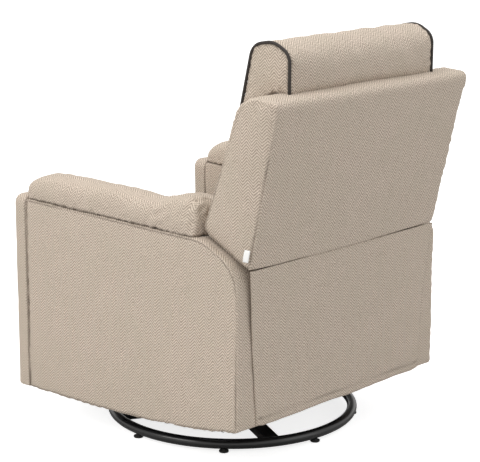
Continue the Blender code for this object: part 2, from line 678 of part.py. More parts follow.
def make_arm_pad(body, side, name):
    """The soft roll on an arm: a bump in front, a dip, and a second bump at the rear."""
    inner, outer = side * ARM_INNER, side * ARM_OUTER
    length = back_point(BACK_LOW_RISE, BACK_DEPTH_LOW)[0] - PAD_REAR_GAP - ARM_PANEL_Y
    stations = ((0.0, 0.55), (0.03, 0.80), (0.10, 0.95), (0.20, 1.0), (0.50, 1.01), (0.76, 0.96),
                (0.88, 1.22), (0.96, 1.22), (0.988, 1.0), (1.0, 0.65))
    rings = []
    for share, height in stations:
        y = ARM_PANEL_Y + GAP + length * share
        low = arm_top(y) + 2 * GAP
        rings.append([(x, y, z) for x, z in arch(low, PAD_CROWN * height - 0.004, inner, outer)])
    finish(loft(f"arm_pad_{name}", rings), "fabric", body, smooth=True)


# ----------------------------------------------------------------- release
def cup_box(name, grow, inner_x, outer_x):
    """A block the size of the handle's cup, in the right arm's side."""
    w, h = CUP_WIDTH / 2 + grow, CUP_HEIGHT / 2 + grow
    return box(name, (-outer_x, HANDLE_Y - w, HANDLE_Z - h), (-inner_x, HANDLE_Y + w, HANDLE_Z + h))


def cable_start():
    return Vector((-(ARM_OUTER - CUP_DEPTH - 2 * GAP), HANDLE_Y - CUP_WIDTH / 2 + 0.018, HANDLE_Z))


def cut_release_holes(shell):
    cut(shell, cup_box("cut_cup", GAP, ARM_OUTER - ARM_WALL - CUT_PAST, ARM_OUTER + CUT_PAST))
    cut(shell, cylinder("cut_cable", (-(ARM_INNER + ARM_WALL / 2), cable_start().y, CABLE_EXIT_Z),
                        CABLE_RADIUS + 0.0015, ARM_WALL + 0.02, "X", 12))


def make_bezel(body):
    cup_floor = ARM_OUTER - CUP_DEPTH
    bezel = cup_box("handle_bezel", 0.0, cup_floor, ARM_OUTER + FLANGE_THICKNESS)
    add(bezel, cup_box("bezel_flange", FLANGE, ARM_OUTER + GAP, ARM_OUTER + GAP + FLANGE_THICKNESS))
    cut(bezel, cup_box("cut_pocket", -CUP_WALL, cup_floor + CUP_WALL, ARM_OUTER + 0.02))
    hinge = (*handle_axis(), HANDLE_Z)
    cut(bezel, cylinder("cut_hinge", hinge, HINGE_PIN + RUN_CLEARANCE, CUP_HEIGHT + 0.004, "Z", 12))
    finish(bezel, "black_plastic", body)


def handle_axis():
    barrel = PADDLE_THICKNESS
    return (-(ARM_OUTER - 0.0035), HANDLE_Y - CUP_WIDTH / 2 + CUP_WALL + barrel + 0.0015)


def make_handle(body):
    x, y = handle_axis()
    tall = CUP_HEIGHT / 2 - CUP_WALL - 0.0010
    outer = ARM_OUTER + 0.0020
    handle = box("release_handle", (-outer, y, HANDLE_Z - tall),
                 (-(outer - PADDLE_THICKNESS), y + PADDLE_LENGTH, HANDLE_Z + tall))
    add(handle,
        cylinder("handle_barrel", (x, y, HANDLE_Z), PADDLE_THICKNESS, 2 * tall - 0.0002, "Z", 16),
        cylinder("handle_pin", (x, y, HANDLE_Z), HINGE_PIN, CUP_HEIGHT - 0.001, "Z", 12))
    finish(handle, "black_plastic", body)


def make_cable(body):
    """The pull cable, from the cup through the arm's hollow to the mechanism plate."""
    start = cable_start()
    end = Vector((-(PLATE_OUTER + GAP), start.y, CABLE_EXIT_Z))
    wall = -(ARM_INNER + ARM_WALL)
    step = Vector((0.004, 0, 0))
    controls = [start, start + step, start + 4 * step,
                Vector((start.x * 0.45 + wall * 0.55, start.y, (start.z + CABLE_EXIT_Z) / 2)),
                Vector((wall - 0.016, start.y, CABLE_EXIT_Z + 0.010)), Vector((wall, start.y, CABLE_EXIT_Z)),
                end - step, end]
    points = []
    for i in range(1, len(controls) - 2):
        p0, p1 = controls[i - 1], controls[i]
        p2, p3 = controls[i + 1], controls[i + 2]
        for k in range(4):
            t = k / 4
            points.append(0.5 * (2 * p1 + (p2 - p0) * t + (2 * p0 - 5 * p1 + 4 * p2 - p3) * t ** 2
                                 + (3 * p1 - p0 - 3 * p2 + p3) * t ** 3))
    points = [start] + points + controls[-2:]
    finish(tube("release_cable", points, CABLE_RADIUS, 2), "black_plastic", body)


# ---------------------------------------------------------------- backrest
def make_back(body):
    half = BACK_WIDTH / 2
    outline = rounded(in_back(back_corners()), 6)
    shell = prism("back_shell", outline, -half, half)
    top = BACK_HEIGHT - BACK_PANEL
    grade = BACK_TOP_DROP / BACK_DEPTH_TOP
    hollow = [(-0.10, BACK_PANEL, 0), (top - grade * BACK_PANEL, BACK_PANEL, 0),
              (top - grade * 0.3, 0.3, 0), (-0.10, 0.3, 0)]
    cut(shell, prism("cut_back", [c[:2] for c in in_back(hollow)], BACK_PANEL - half, half - BACK_PANEL))
    finish(shell, "fabric", body, smooth=True)
    make_back_cushion(body, half - BACK_PANEL - 0.001)
    make_back_frame(body)
    make_headrest(body)


def make_back_cushion(body, half):
    """A wide part inside the shell, and a thicker middle part that comes down between the arms."""
    low = BACK_LOW_RISE + 0.012
    wide = rounded(in_back([
        (low, CUSHION_REAR, 0.004), (BACK_HEIGHT - 0.050, CUSHION_REAR, 0.010),
        (BACK_HEIGHT - 0.056, BACK_DEPTH_TOP - 0.020, 0.030), (low, BACK_DEPTH_LOW - 0.016, 0.020)]))
    cushion = prism("back_cushion", wide, -half, half)
    seat_gap = SEAT_TOP_Z + 0.004
    front_y, front_z = back_point(0, BACK_CUSHION_FRONT)
    drop = (front_z - seat_gap) / math.cos(BACK_LEAN)
    rear_up = (seat_gap + 0.003 - back_point(0, CUSHION_REAR)[1]) / math.cos(BACK_LEAN)
    middle = rounded(in_back([
        (rear_up, CUSHION_REAR + LAYER_LAP, 0.008),
        (BACK_HEIGHT - HEADREST_DROP - 0.030, CUSHION_REAR + LAYER_LAP, 0.010),
        (BACK_HEIGHT - HEADREST_DROP - 0.012, BACK_DEPTH_TOP + 0.045, 0.030),
        (-drop, BACK_CUSHION_FRONT, 0.030)]))
    add(cushion, prism("back_cushion_middle", middle, -CUSHION_HALF, CUSHION_HALF))
    finish(cushion, "fabric", body, smooth=True)


def make_back_frame(body):
    """Two steel uprights on the recline pivots, joined by two wooden rails."""
    front = STILE_REAR + STILE_DEPTH
    for side, name in ((1, "left"), (-1, "right")):
        outline = rounded(in_back([
            (-RECLINE_PIVOT_DROP - 0.014, STILE_REAR, 0.006), (BACK_HEIGHT - 0.055, STILE_REAR, 0.004),
            (BACK_HEIGHT - 0.055, front, 0.004), (-RECLINE_PIVOT_DROP - 0.014, front, 0.006)]), 3)
        stile = prism(f"back_stile_{name}", outline, side * STILE_INNER, side * STILE_OUTER)
        add(stile, cross_pin(f"stud_recline_{name}", RECLINE_PIVOT, ROLLER_RADIUS,
                             STILE_OUTER - 0.005, PLATE_OUTER - PIN_SINK, side))
        finish(stile, "black_steel", body)
    for name, low, high in (("bottom", -0.010, 0.030), ("top", BACK_HEIGHT - 0.100, BACK_HEIGHT - 0.060)):
        outline = [back_point(u, v) for u, v in ((low, STILE_REAR + 0.002), (high, STILE_REAR + 0.002),
                                                 (high, front - 0.002), (low, front - 0.002))]
        rail = prism(f"back_rail_{name}", outline, GAP - STILE_INNER, STILE_INNER - GAP)
        finish(rail, "plywood", body)


def make_headrest(body):
    half = HEADREST_WIDTH / 2
    outline = rounded(in_back(headrest_corners()))
    pillow = prism("headrest_pillow", outline, -half, half)
    room = rounded(in_back(grown(back_corners(), HEADREST_SEAT)), 6)
    cut(pillow, prism("cut_headrest", room, -half - 0.05, half + 0.05))
    finish(pillow, "fabric", body, smooth=True)
    rim = [back_point(u, v) for u, v in rounded(grown(headrest_corners(), -PIPING_RADIUS)[1:5])]
    lead_in = back_point(BACK_HEIGHT + 0.012, HEADREST_REAR + 0.006)
    run = [lead_in] + rim
    for side, name in ((1, "left"), (-1, "right")):
        x = side * (half + GAP + PIPING_RADIUS)
        finish(tube(f"headrest_piping_{name}", [(x, *p) for p in run], PIPING_RADIUS, 2), "piping", body)


# ---------------------------------------------------------------- footrest
def bar(name, side, outer, p, q):
    outline = capsule(p, q, FOOT_BAR_HALF)
    return prism(name, outline, side * (outer - FOOT_BAR_THICKNESS), side * outer)


def make_lower_bars(body):
    """First bars, on the torque tube: studs out into the plate and in through the next layer."""
    for side, name in ((1, "left"), (-1, "right")):
        link = bar(f"footrest_bar_1_{name}", side, LAYER_1, PIVOT_A, PIVOT_D1)
        add(link,
            cross_pin(f"stud_a_{name}", PIVOT_A, FOOT_STUD,
                      LAYER_1 - LAYER_LAP, PLATE_OUTER - PIN_SINK, side),
            cross_pin(f"stud_m1_{name}", PIVOT_M1, FOOT_STUD,
                      LAYER_2 - STUD_REACH, LAYER_1 - LAYER_LAP, side),
            cross_pin(f"stud_d1_{name}", PIVOT_D1, FOOT_STUD,
                      LAYER_2 - STUD_REACH, LAYER_1 - LAYER_LAP, side))
        finish(link, "black_steel", body)
    half = LAYER_1 - FOOT_BAR_THICKNESS - GAP
    finish(cylinder("footrest_torque_tube", (0, *PIVOT_A), TORQUE_TUBE, 2 * half, "X", 20),
           "black_steel", body, smooth=True)


def make_roller_bars(body):
    """Second bars: a roller out in the plate's slot, a hole at the middle, a stud in at the top."""
    for side, name in ((1, "left"), (-1, "right")):
        link = bar(f"footrest_bar_2_{name}", side, LAYER_2, PIVOT_B, PIVOT_D2)
        add(link,
            cross_pin(f"stud_b_{name}", PIVOT_B, ROLLER_RADIUS,
                      LAYER_2 - LAYER_LAP, PLATE_OUTER - PIN_SINK, side),
            cross_pin(f"stud_d2_{name}", PIVOT_D2, FOOT_STUD,
                      LAYER_3 - STUD_REACH, LAYER_2 - LAYER_LAP, side))
        cut(link, cross_pin(f"cut_m1_{name}", PIVOT_M1, FOOT_STUD + RUN_CLEARANCE,
                            LAYER_2 - CUT_PAST, LAYER_2 + CUT_PAST, side))
        finish(link, "black_steel", body)


def make_front_bars(body):
    """Third bars, which carry the board on a flange along its rear."""
    face = BOARD_REAR_Y + GAP
    low = Vector(BAR_END)
    for side, name in ((1, "left"), (-1, "right")):
        top, r = Vector(PIVOT_D2), FOOT_BAR_HALF
        outline = rounded([
            (top.x + r, top.y + r, r * 0.9), (top.x - r, top.y + r, r * 0.9), (face, top.y - 0.030, 0.004),
            (face, low.y + 0.030, 0.004), (low.x - r, low.y - r, r * 0.9), (low.x + r, low.y - r, r * 0.9)])
        link = prism(f"footrest_bar_3_{name}", outline, side * (LAYER_3 - FOOT_BAR_THICKNESS), side * LAYER_3)
        for label, point, clearance in (("d2", PIVOT_D2, RUN_CLEARANCE), ("m2", PIVOT_M2, OPEN_CLEARANCE)):
            cut(link, cross_pin(f"cut_{label}_{name}", point, FOOT_STUD + clearance,
                                LAYER_3 - CUT_PAST, LAYER_3 + CUT_PAST, side))
        finish(link, "black_steel", body)
    half = ARM_INNER - 0.013
    board = box("footrest_board", (-half, BOARD_REAR_Y - BOARD_THICKNESS, BOARD_BOTTOM_Z),
                (half, BOARD_REAR_Y, BOARD_TOP_Z), 0.0015, 1)
    finish(board, "plywood", body)
    half, front = ARM_INNER - 0.006, BOARD_REAR_Y - BOARD_THICKNESS - GAP
    pad = box("footrest_cushion", (-half, front - FOOT_PAD, BOARD_BOTTOM_Z - FOOT_PAD_OVERHANG),
              (half, front, BOARD_TOP_Z + 0.001), 0.014, 3)
    finish(pad, "fabric", body, smooth=True)


def make_stay_bars(body):
    """Fourth bars: half-length stays from the first bars' ends to the middle of the third."""
    for side, name in ((1, "left"), (-1, "right")):
        link = bar(f"footrest_bar_4_{name}", side, LAYER_2, PIVOT_D1, PIVOT_M2)
        add(link, cross_pin(f"stud_m2_{name}", PIVOT_M2, FOOT_STUD,
                            LAYER_3 - STUD_REACH, LAYER_2 - LAYER_LAP, side))
        cut(link, cross_pin(f"cut_d1_{name}", PIVOT_D1, FOOT_STUD + RUN_CLEARANCE,
                            LAYER_2 - CUT_PAST, LAYER_2 + CUT_PAST, side))
        finish(link, "black_steel", body)


def main():
    clear_scene()
    make_materials()
    rear, front = SWIVEL_Y + GLIDE_SPREAD, SWIVEL_Y - GLIDE_SPREAD
    base = add_pivot("pivot_base", (0, 0, 0))
    swivel = add_pivot("pivot_swivel", (0, SWIVEL_Y, 0), base)
    rear_links = add_pivot("pivot_rear_links", (0, rear, GLIDE_TOP_Z), swivel)
    front_links = add_pivot("pivot_front_links", (0, front, GLIDE_TOP_Z), swivel)
    chair = add_pivot("pivot_chair", (0, rear, GLIDE_LOW_Z), rear_links)
    handle = add_pivot("pivot_handle", (*handle_axis(), HANDLE_Z), chair)
    back = add_pivot("pivot_back", (0, *RECLINE_PIVOT), chair)
    bars_1 = add_pivot("pivot_bars_1", (0, *PIVOT_A), chair)
    bars_2 = add_pivot("pivot_bars_2", (0, *PIVOT_M1), bars_1)
    bars_3 = add_pivot("pivot_bars_3", (0, *PIVOT_D2), bars_2)
    bars_4 = add_pivot("pivot_bars_4", (0, *PIVOT_D1), bars_1)

    make_base(base)
    make_swivel(swivel)
    make_glide_links(rear_links, "rear", rear)
    make_glide_links(front_links, "front", front)
    make_mechanism_plates(chair)
    make_seat(chair)
    make_skirt(chair)
    make_arm(chair, 1, "left")
    make_arm(chair, -1, "right")
    make_bezel(chair)
    make_cable(chair)
    make_handle(handle)
    make_back(back)
    make_lower_bars(bars_1)
    make_roller_bars(bars_2)
    make_front_bars(bars_3)
    make_stay_bars(bars_4)


main()
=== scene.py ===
import json
import math
import time

import bmesh
import bpy
import numpy as np
from mathutils import Matrix, Vector
from mathutils.geometry import delaunay_2d_cdt


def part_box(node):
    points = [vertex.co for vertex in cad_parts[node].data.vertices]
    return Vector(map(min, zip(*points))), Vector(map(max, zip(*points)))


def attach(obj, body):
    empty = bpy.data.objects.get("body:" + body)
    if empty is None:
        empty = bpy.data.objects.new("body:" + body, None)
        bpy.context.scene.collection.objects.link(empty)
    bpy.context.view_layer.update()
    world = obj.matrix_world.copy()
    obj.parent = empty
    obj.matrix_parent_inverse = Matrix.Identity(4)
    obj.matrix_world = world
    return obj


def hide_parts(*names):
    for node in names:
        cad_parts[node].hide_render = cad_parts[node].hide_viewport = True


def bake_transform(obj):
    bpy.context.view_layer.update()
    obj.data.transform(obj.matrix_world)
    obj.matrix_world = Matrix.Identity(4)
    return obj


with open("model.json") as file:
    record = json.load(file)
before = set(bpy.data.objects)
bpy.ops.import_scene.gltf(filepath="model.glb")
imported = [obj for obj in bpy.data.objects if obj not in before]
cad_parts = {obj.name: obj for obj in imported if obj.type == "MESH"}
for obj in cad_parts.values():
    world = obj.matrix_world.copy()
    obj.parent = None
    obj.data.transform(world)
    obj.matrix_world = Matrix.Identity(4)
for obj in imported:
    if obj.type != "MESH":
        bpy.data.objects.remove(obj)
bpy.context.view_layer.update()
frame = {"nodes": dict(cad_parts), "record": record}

# An upholstered swivel glider recliner. +Z is up, -Y is the front, +X is the sitter's left.
scene = bpy.context.scene
began = time.time()
print("frame loaded")


# Camera and light
view = dict(azimuth=132.07, elevation=12.98, distance=4.3586, roll=0.175, lens=129.76,
            target=(-0.0017, -0.0021, 0.4799))


def makeCamera():
    a, e = math.radians(view["azimuth"]), math.radians(view["elevation"])
    back = Vector((math.sin(a) * math.cos(e), -math.cos(a) * math.cos(e), math.sin(e)))
    right = Vector((0, 0, 1)).cross(back).normalized()
    turn = Matrix((right, back.cross(right), back)).transposed().to_4x4()
    turn = turn @ Matrix.Rotation(math.radians(view["roll"]), 4, "Z")
    data = bpy.data.cameras.new("camera")
    data.lens, data.sensor_width = view["lens"], 36
    data.clip_end = 50
    camera = bpy.data.objects.new("camera", data)
    camera.matrix_world = Matrix.Translation(Vector(view["target"]) + back * view["distance"]) @ turn
    scene.collection.objects.link(camera)
    scene.camera = camera


def makeLight(name, place, size, power, colour=(1, 1, 1)):
    data = bpy.data.lights.new(name, "AREA")
    data.shape, data.size, data.energy, data.color = "SQUARE", size, power, colour
    lamp = bpy.data.objects.new(name, data)
    aim = (Vector((0, 0, 0.5)) - Vector(place)).to_track_quat("-Z", "Y")
    lamp.matrix_world = Matrix.Translation(place) @ aim.to_matrix().to_4x4()
    scene.collection.objects.link(lamp)


studio = dict(sky=0.84, key=58, fill=18, top=46, glow=0.80)


def makeStudio():
    world = bpy.data.worlds.new("studio")
    world.use_nodes = True
    sky = world.node_tree.nodes["Background"]
    sky.inputs["Color"].default_value = (1, 0.99, 0.975, 1)
    wires = Wires(world.node_tree)
    seen = wires.node("ShaderNodeLightPath").outputs["Is Camera Ray"]
    wires.feed(sky.inputs["Strength"], wires.math("ADD", studio["sky"], wires.math("MULTIPLY", seen, 0.65)))
    scene.world = world
    scene.view_settings.view_transform = "Standard"
    makeLight("keyLight", (3.6, -0.6, 2.6), 2.2, studio["key"], (1, 0.985, 0.96))
    makeLight("rearFill", (-1.2, 4.2, 2.0), 2.6, studio["fill"], (0.97, 0.985, 1))
    makeLight("topLight", (0.3, 0.2, 3.6), 2.4, studio["top"])


makeCamera()


# Materials
def newMaterial(name):
    mat = bpy.data.materials.new(name)
    mat.use_nodes = True
    return mat, mat.node_tree, mat.node_tree.nodes["Principled BSDF"]


# Short names for the nodes that the materials share
class Wires:
    def __init__(self, tree):
        self.tree = tree

    def node(self, kind, **values):
        made = self.tree.nodes.new(kind)
        for key, value in values.items():
            setattr(made, key, value)
        return made

    def feed(self, socket, value):
        if isinstance(value, bpy.types.NodeSocket):
            self.tree.links.new(value, socket)
        elif value is not None:
            socket.default_value = value

    def math(self, operation, *values, clamp=False):
        made = self.node("ShaderNodeMath", operation=operation, use_clamp=clamp)
        for socket, value in zip(made.inputs, values):
            self.feed(socket, value)
        return made.outputs[0]

    def mixColour(self, share, low, high, blend="MIX"):
        made = self.node("ShaderNodeMix", data_type="RGBA", blend_type=blend)
        self.feed(made.inputs[0], share)
        self.feed(made.inputs[6], low)
        self.feed(made.inputs[7], high)
        return made.outputs[2]

    def noise(self, vector, scale, detail=2.0, rough=0.5):
        made = self.node("ShaderNodeTexNoise")
        self.feed(made.inputs["Vector"], vector)
        self.feed(made.inputs["Scale"], scale)
        self.feed(made.inputs["Detail"], detail)
        self.feed(made.inputs["Roughness"], rough)
        return made.outputs["Fac"]

    def ramp(self, value, low, high):
        made = self.node("ShaderNodeMapRange")
        self.feed(made.inputs["Value"], value)
        self.feed(made.inputs["From Min"], low)
        self.feed(made.inputs["From Max"], high)
        return made.outputs["Result"]

    def bump(self, height, distance, strength, normal=None):
        made = self.node("ShaderNodeBump")
        self.feed(made.inputs["Height"], height)
        made.inputs["Distance"].default_value = distance
        made.inputs["Strength"].default_value = strength
        self.feed(made.inputs["Normal"], normal)
        return made.outputs["Normal"]


weave = dict(pitch=0.0036, column=4.0, light=(0.83, 0.71, 0.60, 1), mid=(0.26, 0.213, 0.174, 1),
             dark=(0.20, 0.155, 0.122, 1), green=(0.42, 0.40, 0.30, 1),
             relief=0.0011, strength=0.6, sheen=0.05)


# One flat view of the cloth: a zigzag twill of two yarns. Gives its height and which yarn shows
def threadPlane(w, a, b):
    across = w.math("DIVIDE", a, weave["pitch"])
    along = w.math("DIVIDE", b, weave["pitch"])
    zigzag = w.math("PINGPONG", across, weave["column"])
    step = w.math("PINGPONG", w.math("ADD", along, zigzag), 1.0)
    over = w.ramp(step, 0.30, 0.70)
    warp = w.math("ABSOLUTE", w.math("SINE", w.math("MULTIPLY", across, math.pi)))
    weft = w.math("ABSOLUTE", w.math("SINE", w.math("MULTIPLY", along, math.pi)))
    return w.math("ADD", w.math("MULTIPLY", warp, over),
                  w.math("MULTIPLY", weft, w.math("SUBTRACT", 1.0, over))), over


def tweedCloth(name):
    mat, tree, shader = newMaterial(name)
    w = Wires(tree)
    place = w.node("ShaderNodeTexCoord")
    wobble = w.node("ShaderNodeTexNoise")
    w.feed(wobble.inputs["Vector"], place.outputs["Object"])
    wobble.inputs["Scale"].default_value = 45
    bend = w.node("ShaderNodeVectorMath", operation="MULTIPLY_ADD")
    w.feed(bend.inputs[0], wobble.outputs["Color"])
    bend.inputs[1].default_value = (0.004, 0.004, 0.004)
    w.feed(bend.inputs[2], place.outputs["Object"])
    split, facing = w.node("ShaderNodeSeparateXYZ"), w.node("ShaderNodeSeparateXYZ")
    w.feed(split.inputs[0], bend.outputs[0])
    w.feed(facing.inputs[0], place.outputs["Normal"])
    share = [w.math("POWER", w.math("ABSOLUTE", facing.outputs[i]), 8.0) for i in range(3)]
    total = w.math("ADD", w.math("ADD", share[0], share[1]), w.math("ADD", share[2], 1e-4))
    height = yarn = None
    for i, (a, b) in enumerate(((1, 2), (0, 2), (0, 1))):
        part = w.math("DIVIDE", share[i], total)
        flat = [w.math("MULTIPLY", value, part)
                for value in threadPlane(w, split.outputs[a], split.outputs[b])]
        height, yarn = flat if i == 0 else (w.math("ADD", height, flat[0]), w.math("ADD", yarn, flat[1]))
    fleck = w.noise(place.outputs["Object"], 620, 1.0, 0.6)
    slub = w.noise(place.outputs["Object"], 330, 1.0, 0.6)
    cloud = w.noise(place.outputs["Object"], 12, 3.0, 0.55)
    mixed = w.math("ADD", w.math("MULTIPLY", yarn, 0.62), w.math("MULTIPLY", w.ramp(fleck, 0.36, 0.64), 0.38))
    colour = w.mixColour(mixed, weave["mid"], weave["light"])
    darkShare = w.math("MULTIPLY", w.ramp(slub, 0.52, 0.72),
                       w.math("SUBTRACT", 1.0, w.math("MULTIPLY", yarn, 0.7)))
    colour = w.mixColour(w.math("MULTIPLY", darkShare, 0.55), colour, weave["dark"])
    colour = w.mixColour(w.math("MULTIPLY", w.ramp(cloud, 0.35, 0.65), 0.16), colour, weave["green"])
    # Darker where the weave is low: painted shade in the hollows between the yarns
    colour = w.mixColour(w.math("MULTIPLY", w.math("SUBTRACT", 1.0, height), 0.3), colour, weave["dark"])
    seam = w.node("ShaderNodeAttribute", attribute_name="seamShade")
    colour = w.mixColour(w.math("MULTIPLY", seam.outputs["Fac"], 0.55), colour, (0.06, 0.045, 0.035, 1))
    w.feed(shader.inputs["Base Color"], colour)
    w.feed(shader.inputs["Roughness"], w.ramp(fleck, -3.0, 0.75))
    shader.inputs["Specular IOR Level"].default_value = 0.12
    shader.inputs["Sheen Weight"].default_value = weave["sheen"]
    shader.inputs["Sheen Roughness"].default_value = 0.5
    relief = w.math("ADD", height, w.math("MULTIPLY", fleck, 0.6))
    fine = w.bump(relief, weave["relief"], weave["strength"])
    w.feed(shader.inputs["Normal"], w.bump(cloud, 0.004, 0.2, fine))
    return mat


# Paint, plastic, rubber or bare metal: two close tones, a fine grain and a varied roughness
def grainyMaterial(name, colour, second, roughness, metallic, scale, relief, coat=0.0):
    mat, tree, shader = newMaterial(name)
    w = Wires(tree)
    place = w.node("ShaderNodeTexCoord").outputs["Object"]
    blotch, grain = w.noise(place, scale / 12, 3.0), w.noise(place, scale, 2.0, 0.7)
    w.feed(shader.inputs["Base Color"], w.mixColour(blotch, (*colour, 1), (*second, 1)))
    spread = w.ramp(blotch, 0.0, 1.0)
    w.feed(shader.inputs["Roughness"], w.math("ADD", roughness - 0.06, w.math("MULTIPLY", spread, 0.12)))
    shader.inputs["Metallic"].default_value = metallic
    shader.inputs["Coat Weight"].default_value = coat
    w.feed(shader.inputs["Normal"], w.bump(grain, relief, 0.5))
    return mat


def plyWood(name):
    mat, tree, shader = newMaterial(name)
    w = Wires(tree)
    place = w.node("ShaderNodeTexCoord").outputs["Object"]
    stretch = w.node("ShaderNodeMapping")
    w.feed(stretch.inputs["Vector"], place)
    stretch.inputs["Scale"].default_value = (3, 45, 45)
    grain = w.noise(stretch.outputs[0], 2.2, 4.0, 0.6)
    pores = w.noise(stretch.outputs[0], 14, 2.0, 0.7)
    tone = w.math("ADD", w.math("MULTIPLY", grain, 0.7), w.math("MULTIPLY", pores, 0.3))
    w.feed(shader.inputs["Base Color"], w.mixColour(w.ramp(tone, 0.35, 0.65), (0.60, 0.42, 0.24, 1),
                                                    (0.36, 0.22, 0.11, 1)))
    shader.inputs["Roughness"].default_value = 0.7
    w.feed(shader.inputs["Normal"], w.bump(tone, 0.0004, 0.5))
    return mat


makeStudio()
cloth = tweedCloth("tweedCloth")
pipingCloth = grainyMaterial("pipingCloth", (0.016, 0.012, 0.010), (0.034, 0.026, 0.021),
                             0.70, 0, 1500, 0.0003)
blackPaint = grainyMaterial("blackPaint", (0.005, 0.005, 0.0055), (0.010, 0.010, 0.011),
                            0.30, 0, 900, 0.00006, 0.25)
zincSteel = grainyMaterial("zincSteel", (0.52, 0.53, 0.55), (0.44, 0.45, 0.47), 0.36, 1.0, 500, 0.00005)
footRubber = grainyMaterial("footRubber", (0.015, 0.015, 0.015), (0.025, 0.025, 0.024), 0.78, 0, 700, 0.0001)
blackPlastic = grainyMaterial("blackPlastic", (0.016, 0.016, 0.017), (0.022, 0.022, 0.023),
                              0.48, 0, 1400, 0.00008)
threadYarn = grainyMaterial("threadYarn", (0.43, 0.36, 0.29), (0.34, 0.28, 0.22), 0.8, 0, 2500, 0.0002)
labelCloth = grainyMaterial("labelCloth", (0.86, 0.86, 0.85), (0.80, 0.80, 0.79), 0.7, 0, 1800, 0.0001)
liningCloth = grainyMaterial("liningCloth", (0.020, 0.020, 0.021), (0.032, 0.032, 0.033),
                             0.95, 0, 1500, 0.0002)
plywood = plyWood("plywood")
slotFinish = dict(fabric=cloth, piping=pipingCloth, black_steel=blackPaint, zinc_steel=zincSteel,
                  rubber=footRubber, plywood=plywood, black_plastic=blackPlastic)


wrapped = ("seat_rail_front", "seat_rail_rear", "back_rail_bottom", "footrest_board")


def dressNodes():
    slots = {part["node"]: part["material_slot"] for part in frame["record"]["subparts"]}
    for name, node in frame["nodes"].items():
        node.data.materials.clear()
        node.data.materials.append(cloth if name in wrapped else slotFinish[slots[name]])


dressNodes()
print("materials made")


# Making and finishing meshes
def linkMesh(name, bm, material, smooth=True):
    bmesh.ops.remove_doubles(bm, verts=bm.verts, dist=1e-6)
    bmesh.ops.recalc_face_normals(bm, faces=bm.faces)
    mesh = bpy.data.meshes.new(name)
    bm.to_mesh(mesh)
    bm.free()
    obj = bpy.data.objects.new(name, mesh)
    scene.collection.objects.link(obj)
    mesh.materials.append(material)
    if smooth:
        mesh.shade_smooth()
    return obj


# Puts a finished piece on its body and hides the solids it stands for
def settle(obj, body, slot, *nodes):
    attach(obj, body)
    if nodes:
        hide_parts(*nodes)
    return obj


# Turns a piece's modifiers into plain mesh
def applied(obj):
    graph = bpy.context.evaluated_depsgraph_get()
    mesh = bpy.data.meshes.new_from_object(obj.evaluated_get(graph))
    mesh.name = obj.name
    obj.modifiers.clear()
    obj.data = mesh
    return obj


def subdivide(obj, levels=1):
    mod = obj.modifiers.new("smooth", "SUBSURF")
    mod.levels = mod.render_levels = levels
    return applied(obj)


def getPoints(obj):
    points = np.zeros(len(obj.data.vertices) * 3, np.float32)
    obj.data.vertices.foreach_get("co", points)
    return points.reshape(-1, 3).astype(float)


def getNormals(obj):
    normals = np.zeros(len(obj.data.vertices) * 3, np.float32)
    obj.data.vertices.foreach_get("normal", normals)
    return normals.reshape(-1, 3).astype(float)


def setPoints(obj, points):
    obj.data.vertices.foreach_set("co", points.astype(np.float32).ravel())
    obj.data.update()


# A smooth, seeded unevenness between about -1 and 1, made of sine waves in many directions
def waves(points, size, seed, count=18):
    dice = np.random.default_rng(seed)
    ways = dice.normal(size=(count, 3))
    ways *= (2 * math.pi / size * dice.uniform(0.55, 1.3, count) / np.linalg.norm(ways, axis=1))[:, None]
    phases = dice.uniform(0, 2 * math.pi, count)
    return np.sin(points @ ways.T + phases).sum(axis=1) / math.sqrt(count * 0.9)


# Slow, gentle unevenness of a stuffed cover, along its normals
def ruffle(obj, size, amount, seed, keep=None):
    points, normals = getPoints(obj), getNormals(obj)
    rise = waves(points, size, seed) * 0.6 + waves(points, size / 2.7, seed + 100) * 0.25
    if keep is not None:
        rise = rise * keep(points)
    setPoints(obj, points + normals * (rise * amount)[:, None])


# A sewn seam: the cover dips along it, and the attribute darkens it. away gives each point's distance
def pressSeam(obj, away, width, depth):
    points, normals = getPoints(obj), getNormals(obj)
    share = np.exp(-(away(points) / width) ** 2)
    setPoints(obj, points - normals * (share * depth)[:, None])
    shade = obj.data.attributes.get("seamShade") or obj.data.attributes.new("seamShade", "FLOAT", "POINT")
    old = np.zeros(len(points), np.float32)
    shade.data.foreach_get("value", old)
    shade.data.foreach_set("value", np.maximum(old, share).astype(np.float32))


# Short gathers that fan out from a seam
def pucker(obj, away, reach, pitch, amount, seed):
    points, normals = getPoints(obj), getNormals(obj)
    share = np.exp(-(away(points) / reach) ** 2)
    near = share > 0.01
    share[near] *= waves(points[near], pitch, seed, 26)
    share[~near] = 0
    setPoints(obj, points + normals * (share * amount)[:, None])


# Cuts a box-shaped hollow
def carve(obj, low, high):
    bm = bmesh.new()
    bmesh.ops.create_cube(bm, size=1.0)
    for vert in bm.verts:
        vert.co = [(a + b) / 2 + c * (b - a) for a, b, c in zip(low, high, vert.co)]
    tool = linkMesh("carveBox", bm, blackPlastic, False)
    mod = obj.modifiers.new("carve", "BOOLEAN")
    mod.operation, mod.solver, mod.object = "DIFFERENCE", "EXACT", tool
    applied(obj)
    bpy.data.objects.remove(tool)


puffing = dict(pressure=4.0, frames=20, quality=5, tension=14.0, bending=0.6)


